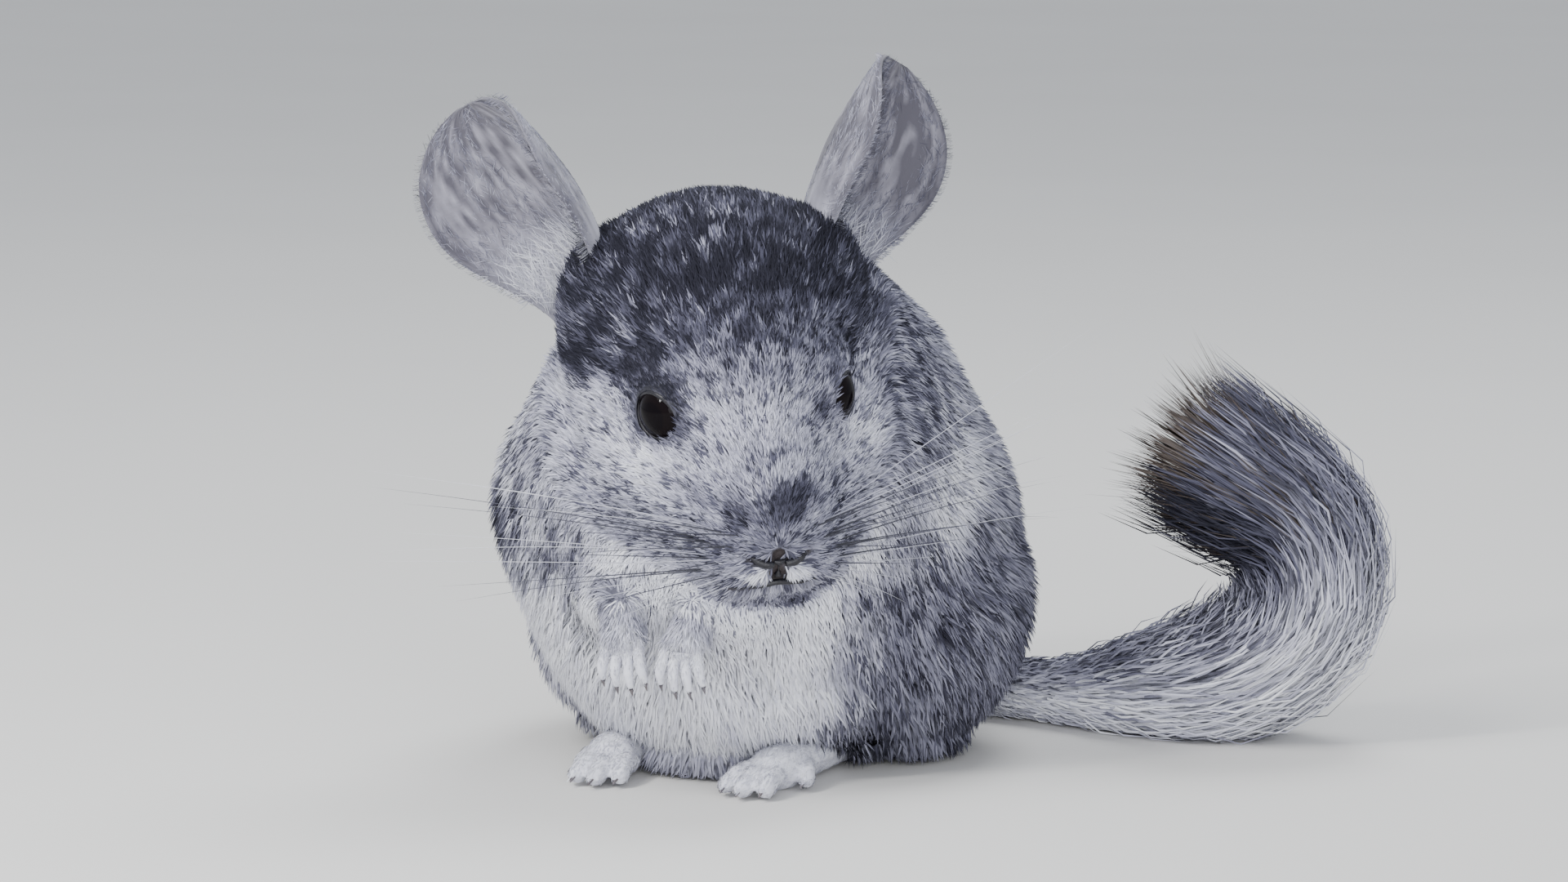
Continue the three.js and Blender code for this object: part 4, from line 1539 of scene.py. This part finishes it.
def build_nose():
    """Dark strips of painted shade laid in the slits of the nostrils, the opening under the cleft
    and the line of the mouth.
    """
    front = Front()
    parts = []

    def strip(line, radii, proud, finish="lid"):
        rows = spread_over(np.column_stack([line, radii]), 6 * len(line))
        places = [front.at(x, z) - np.array([0, proud, 0]) for x, z, _ in rows]
        made = tube("strip", from_head(places), rows[:, 2] * MM, sides=8)
        made.data.materials.append(material(finish))
        parts.append(made)

    for side in (1, -1):
        # Near-black lid finish and lip colour here are painted shade in the nostrils, the cleft
        # and the mouth's crease.
        strip([(side * x, z) for x, z in NOSTRIL], (0.7, 1.0, 0.9, 0.3), 1.3)
    strip([(-1.2, -8.6), (0, -8.9), (1.2, -8.6)], (0.4, 0.7, 0.4), 0.9)
    strip([(0, -9.0), (0, -11.2), (0, -12.7), (0, -13.4)], (0.2, 0.1, 0.8, 0.3), 0.4)
    strip(MOUTH_LINE, (0.25, 0.6, 0.65, 0.6, 0.25), 1.2, "lips")
    rooted(joined("nose_and_mouth", parts), "grey_fur")


# Tail


def build_tail():
    rows, sides = 60, 24
    turns = np.linspace(0, 2 * np.pi, sides, endpoint=False)
    rings = []
    for share in np.linspace(0.16, 1, rows):
        s = np.full(sides, share * TAIL_PATH.length)
        r = np.full(sides, float(core_radius(share)) - 1.0)
        place, _, _ = TAIL_PATH.round(s, r, turns)
        place[:, 2] = np.maximum(place[:, 2], 0.0004)
        rings.append(place)
    count = rows * sides + 2
    marks = {"shade": np.full(count, 0.35), "bare": np.zeros(count)}
    core = sheet_of_rings("tail_core", rings, marks=marks)
    core.data.materials.append(material("skin"))
    rooted(core, "tail_fur", *TAIL)
    rng = np.random.default_rng(sizes().seed + 9)
    share = 1
    tail_tufts("tail_brush", rng, int(12300 * share), 0.17, 0.97)
    tail_tufts("tail_plume", rng, int(3000 * share), 0.8, 1.0)


def tail_tufts(name, rng, count, start, end):
    """Long hair that lies back along the tail and rises from it at one slope."""
    share = start + (end - start) * rng.uniform(0, 1, count)
    turn = rng.uniform(0, 2 * np.pi, count)
    grown = smooth(0.28, 0.52, share)
    drawn = smooth(0.74, 0.95, share)
    plume = name == "tail_plume"
    long = (6 + 16 * grown + 7 * drawn) * rng.uniform(0.7, 1.1, count)
    slope = 0.46 + 0.07 * rng.normal(0, 1, count)
    if plume:
        long = (22 + 8 * drawn) * rng.uniform(0.75, 1.12, count)
        slope = rng.uniform(0.02, 0.6, count)
    slope = np.clip(slope, 0.02, 0.62)
    wide = rng.uniform(0.6, 1.0, count) * (0.6 if plume else 1)
    twist = rng.normal(0, 0.12, count)
    along = (0, 0.3, 0.62, 1)
    rings, normals = [], []
    for step, thick in zip(along, (1.0, 1.0, 0.7, 0)):
        rise = step if plume else np.sin(np.pi / 2 * min(step * 1.15, 1))
        out = core_radius(share) - 1.2 + slope * long * rise
        s = share * TAIL_PATH.length + step * long
        place, away, ahead = TAIL_PATH.round(s, out, turn + twist * step)
        if thick:
            side = np.cross(away, ahead)
            half = (wide * thick / 2 * MM)[:, None]
            rings += [place - side * half, place + side * half, place + away * half * 0.8]
            normals += [unit(away - 0.7 * side), unit(away + 0.7 * side), away]
    rings.append(place)
    normals.append(unit(away + 0.3 * ahead))
    lowest = 0.0003 + 0.0004 * rng.uniform(0, 1, count)
    inner = 0.5 - 0.5 * np.cos(turn)
    shade = 0.84 - 0.34 * smooth(0.42, 0.9, inner) + 0.22 * rng.normal(0, 0.5, count)
    shade -= 0.5 * smooth(0.68, 0.88, share)
    if plume:
        shade = 0.06 + 0.1 * rng.uniform(0, 1, count)
    shade = np.clip(shade, 0.02, 1)
    kind = rng.uniform(0, 1, count)
    uv = np.column_stack([0.02 + 0.96 * share, 0.02 + 0.96 * turn / (2 * np.pi)])
    finish = "plume" if plume else "fur"
    rise = (0, 0.4, 0.7, 1)
    made = blades(name, rings, normals, along, rise, lowest, shade, kind, uv, finish)
    rooted(made, "tail_fur")


# Stage

PICTURE = (1920, 1080)  # width and height in pixels
PIXEL = 0.18 * MM  # what a pixel spans at the animal
SEAT_SHOWN = (930, 920)  # where the picture shows the middle of the animal's seat


def aimed(name, place, target, size, power, tint):
    lamp = bpy.data.lights.new(name, "AREA")
    lamp.shape = "DISK"
    lamp.size = size
    lamp.energy = power
    lamp.color = tint
    made = placed(name, lamp)
    made.location = place
    made.rotation_euler = (Vector(target) - Vector(place)).to_track_quat("-Z", "Y").to_euler()


def build_stage():
    stage = bpy.context.scene.chinchilla_stage
    bpy.ops.mesh.primitive_plane_add(size=8, location=(0, 0, 0))
    floor = bpy.context.object
    floor.name = "floor"
    darker = [c * 0.94 for c in stage.floor]
    paint = plain_finish("floor_paint", stage.floor, darker, 0.15, 0.85, 0.0002)
    floor.data.materials.append(paint)
    world = bpy.data.worlds.new("soft_light")
    bpy.context.scene.world = world
    world.use_nodes = True
    background = world.node_tree.nodes["Background"]
    background.inputs["Color"].default_value = (0.80, 0.84, 0.92, 1)
    background.inputs["Strength"].default_value = 0.85
    target = (0.02, 0, 0.06)
    aimed("key", (-0.45, -0.75, 1.05), target, 0.7, stage.key * 0.9, (1, 0.99, 0.97))
    aimed("fill", (0.55, -1.0, 0.25), target, 0.8, stage.key * 1.05, (0.97, 0.98, 1))
    aimed("top", (0.1, 0.45, 1.1), target, 0.6, stage.key * 0.7, (0.95, 0.97, 1))
    aimed("glint", (-0.22, -0.5, 0.42), target, 0.08, stage.key * 0.2, (1, 1, 1))
    az, el = stage.azimuth, stage.elevation
    right = Vector((math.cos(az), math.sin(az), 0))
    forward = Vector((-math.sin(az) * math.cos(el), math.cos(az) * math.cos(el), -math.sin(el)))
    up = right.cross(forward)
    camera = bpy.data.cameras.new("camera")
    camera.lens = 135
    camera.sensor_width = 36
    camera.clip_start = 0.05
    away = PIXEL * PICTURE[0] / camera.sensor_width * camera.lens
    across, above = PICTURE[0] / 2 - SEAT_SHOWN[0], SEAT_SHOWN[1] - PICTURE[1] / 2
    made = placed("camera", camera)
    made.location = (right * across + up * above) * PIXEL - forward * away
    made.rotation_euler = forward.to_track_quat("-Z", "Y").to_euler()
    bpy.context.scene.camera = made


# Operators


class CHINCHILLA_OT_stage(bpy.types.Operator):
    """Make the floor, the lights and the camera."""

    bl_idname = "chinchilla.stage"
    bl_label = "Stage"

    def execute(self, context):
        build_stage()
        return {"FINISHED"}


class CHINCHILLA_OT_skin(bpy.types.Operator):
    """Make one skin over the body and head, and the skins of hands and feet."""

    bl_idname = "chinchilla.skin"
    bl_label = "Skin"

    def execute(self, context):
        build_skin()
        build_hands()
        build_feet()
        return {"FINISHED"}


class CHINCHILLA_OT_coat(bpy.types.Operator):
    """Grow the tufts of the coat on the skin."""

    bl_idname = "chinchilla.coat"
    bl_label = "Coat"

    def execute(self, context):
        build_coat()
        build_limb_fur()
        return {"FINISHED"}


class CHINCHILLA_OT_ears(bpy.types.Operator):
    """Make both ears and their fine hair."""

    bl_idname = "chinchilla.ears"
    bl_label = "Ears"

    def execute(self, context):
        for word, side in SIDES.items():
            build_ear(word, side)
        return {"FINISHED"}


class CHINCHILLA_OT_face(bpy.types.Operator):
    """Make the eyes, lids, nose and whiskers."""

    bl_idname = "chinchilla.face"
    bl_label = "Eyes, nose and whiskers"

    def execute(self, context):
        for word, side in SIDES.items():
            build_eye(word, side)
        build_nose()
        build_whiskers()
        return {"FINISHED"}


class CHINCHILLA_OT_claws(bpy.types.Operator):
    """Make the claws of all four feet."""

    bl_idname = "chinchilla.claws"
    bl_label = "Claws"

    def execute(self, context):
        build_claws()
        return {"FINISHED"}


class CHINCHILLA_OT_tail(bpy.types.Operator):
    """Make the tail's core and its long hair."""

    bl_idname = "chinchilla.tail"
    bl_label = "Tail"

    def execute(self, context):
        build_tail()
        return {"FINISHED"}


OPERATORS = [
    CHINCHILLA_OT_stage,
    CHINCHILLA_OT_skin,
    CHINCHILLA_OT_coat,
    CHINCHILLA_OT_ears,
    CHINCHILLA_OT_face,
    CHINCHILLA_OT_claws,
    CHINCHILLA_OT_tail,
]


class CHINCHILLA_PT_panel(bpy.types.Panel):
    """The settings and the steps, in the order in which they run."""

    bl_idname = "CHINCHILLA_PT_panel"
    bl_label = "Chinchilla"
    bl_space_type = "VIEW_3D"
    bl_region_type = "UI"
    bl_category = "Chinchilla"

    def draw(self, context):
        scene = context.scene
        for group in (scene.chinchilla_sizes, scene.chinchilla_colours, scene.chinchilla_stage):
            box = self.layout.box()
            for word in group.__annotations__:
                box.prop(group, word)
        for operator in OPERATORS:
            self.layout.operator(operator.bl_idname)


GROUPS = {
    "chinchilla_sizes": CoatSizes,
    "chinchilla_colours": CoatColours,
    "chinchilla_stage": StageSettings,
}


def register():
    for made in (*GROUPS.values(), *OPERATORS, CHINCHILLA_PT_panel):
        bpy.utils.register_class(made)
    for word, group in GROUPS.items():
        setattr(bpy.types.Scene, word, bpy.props.PointerProperty(type=group))


def unregister():
    for word in GROUPS:
        delattr(bpy.types.Scene, word)
    for made in (CHINCHILLA_PT_panel, *OPERATORS[::-1], *list(GROUPS.values())[::-1]):
        bpy.utils.unregister_class(made)


def main():
    register()
    for operator in OPERATORS:
        name = operator.bl_idname.split(".")[1]
        getattr(bpy.ops.chinchilla, name)()


if __name__ == "__main__":
    main()
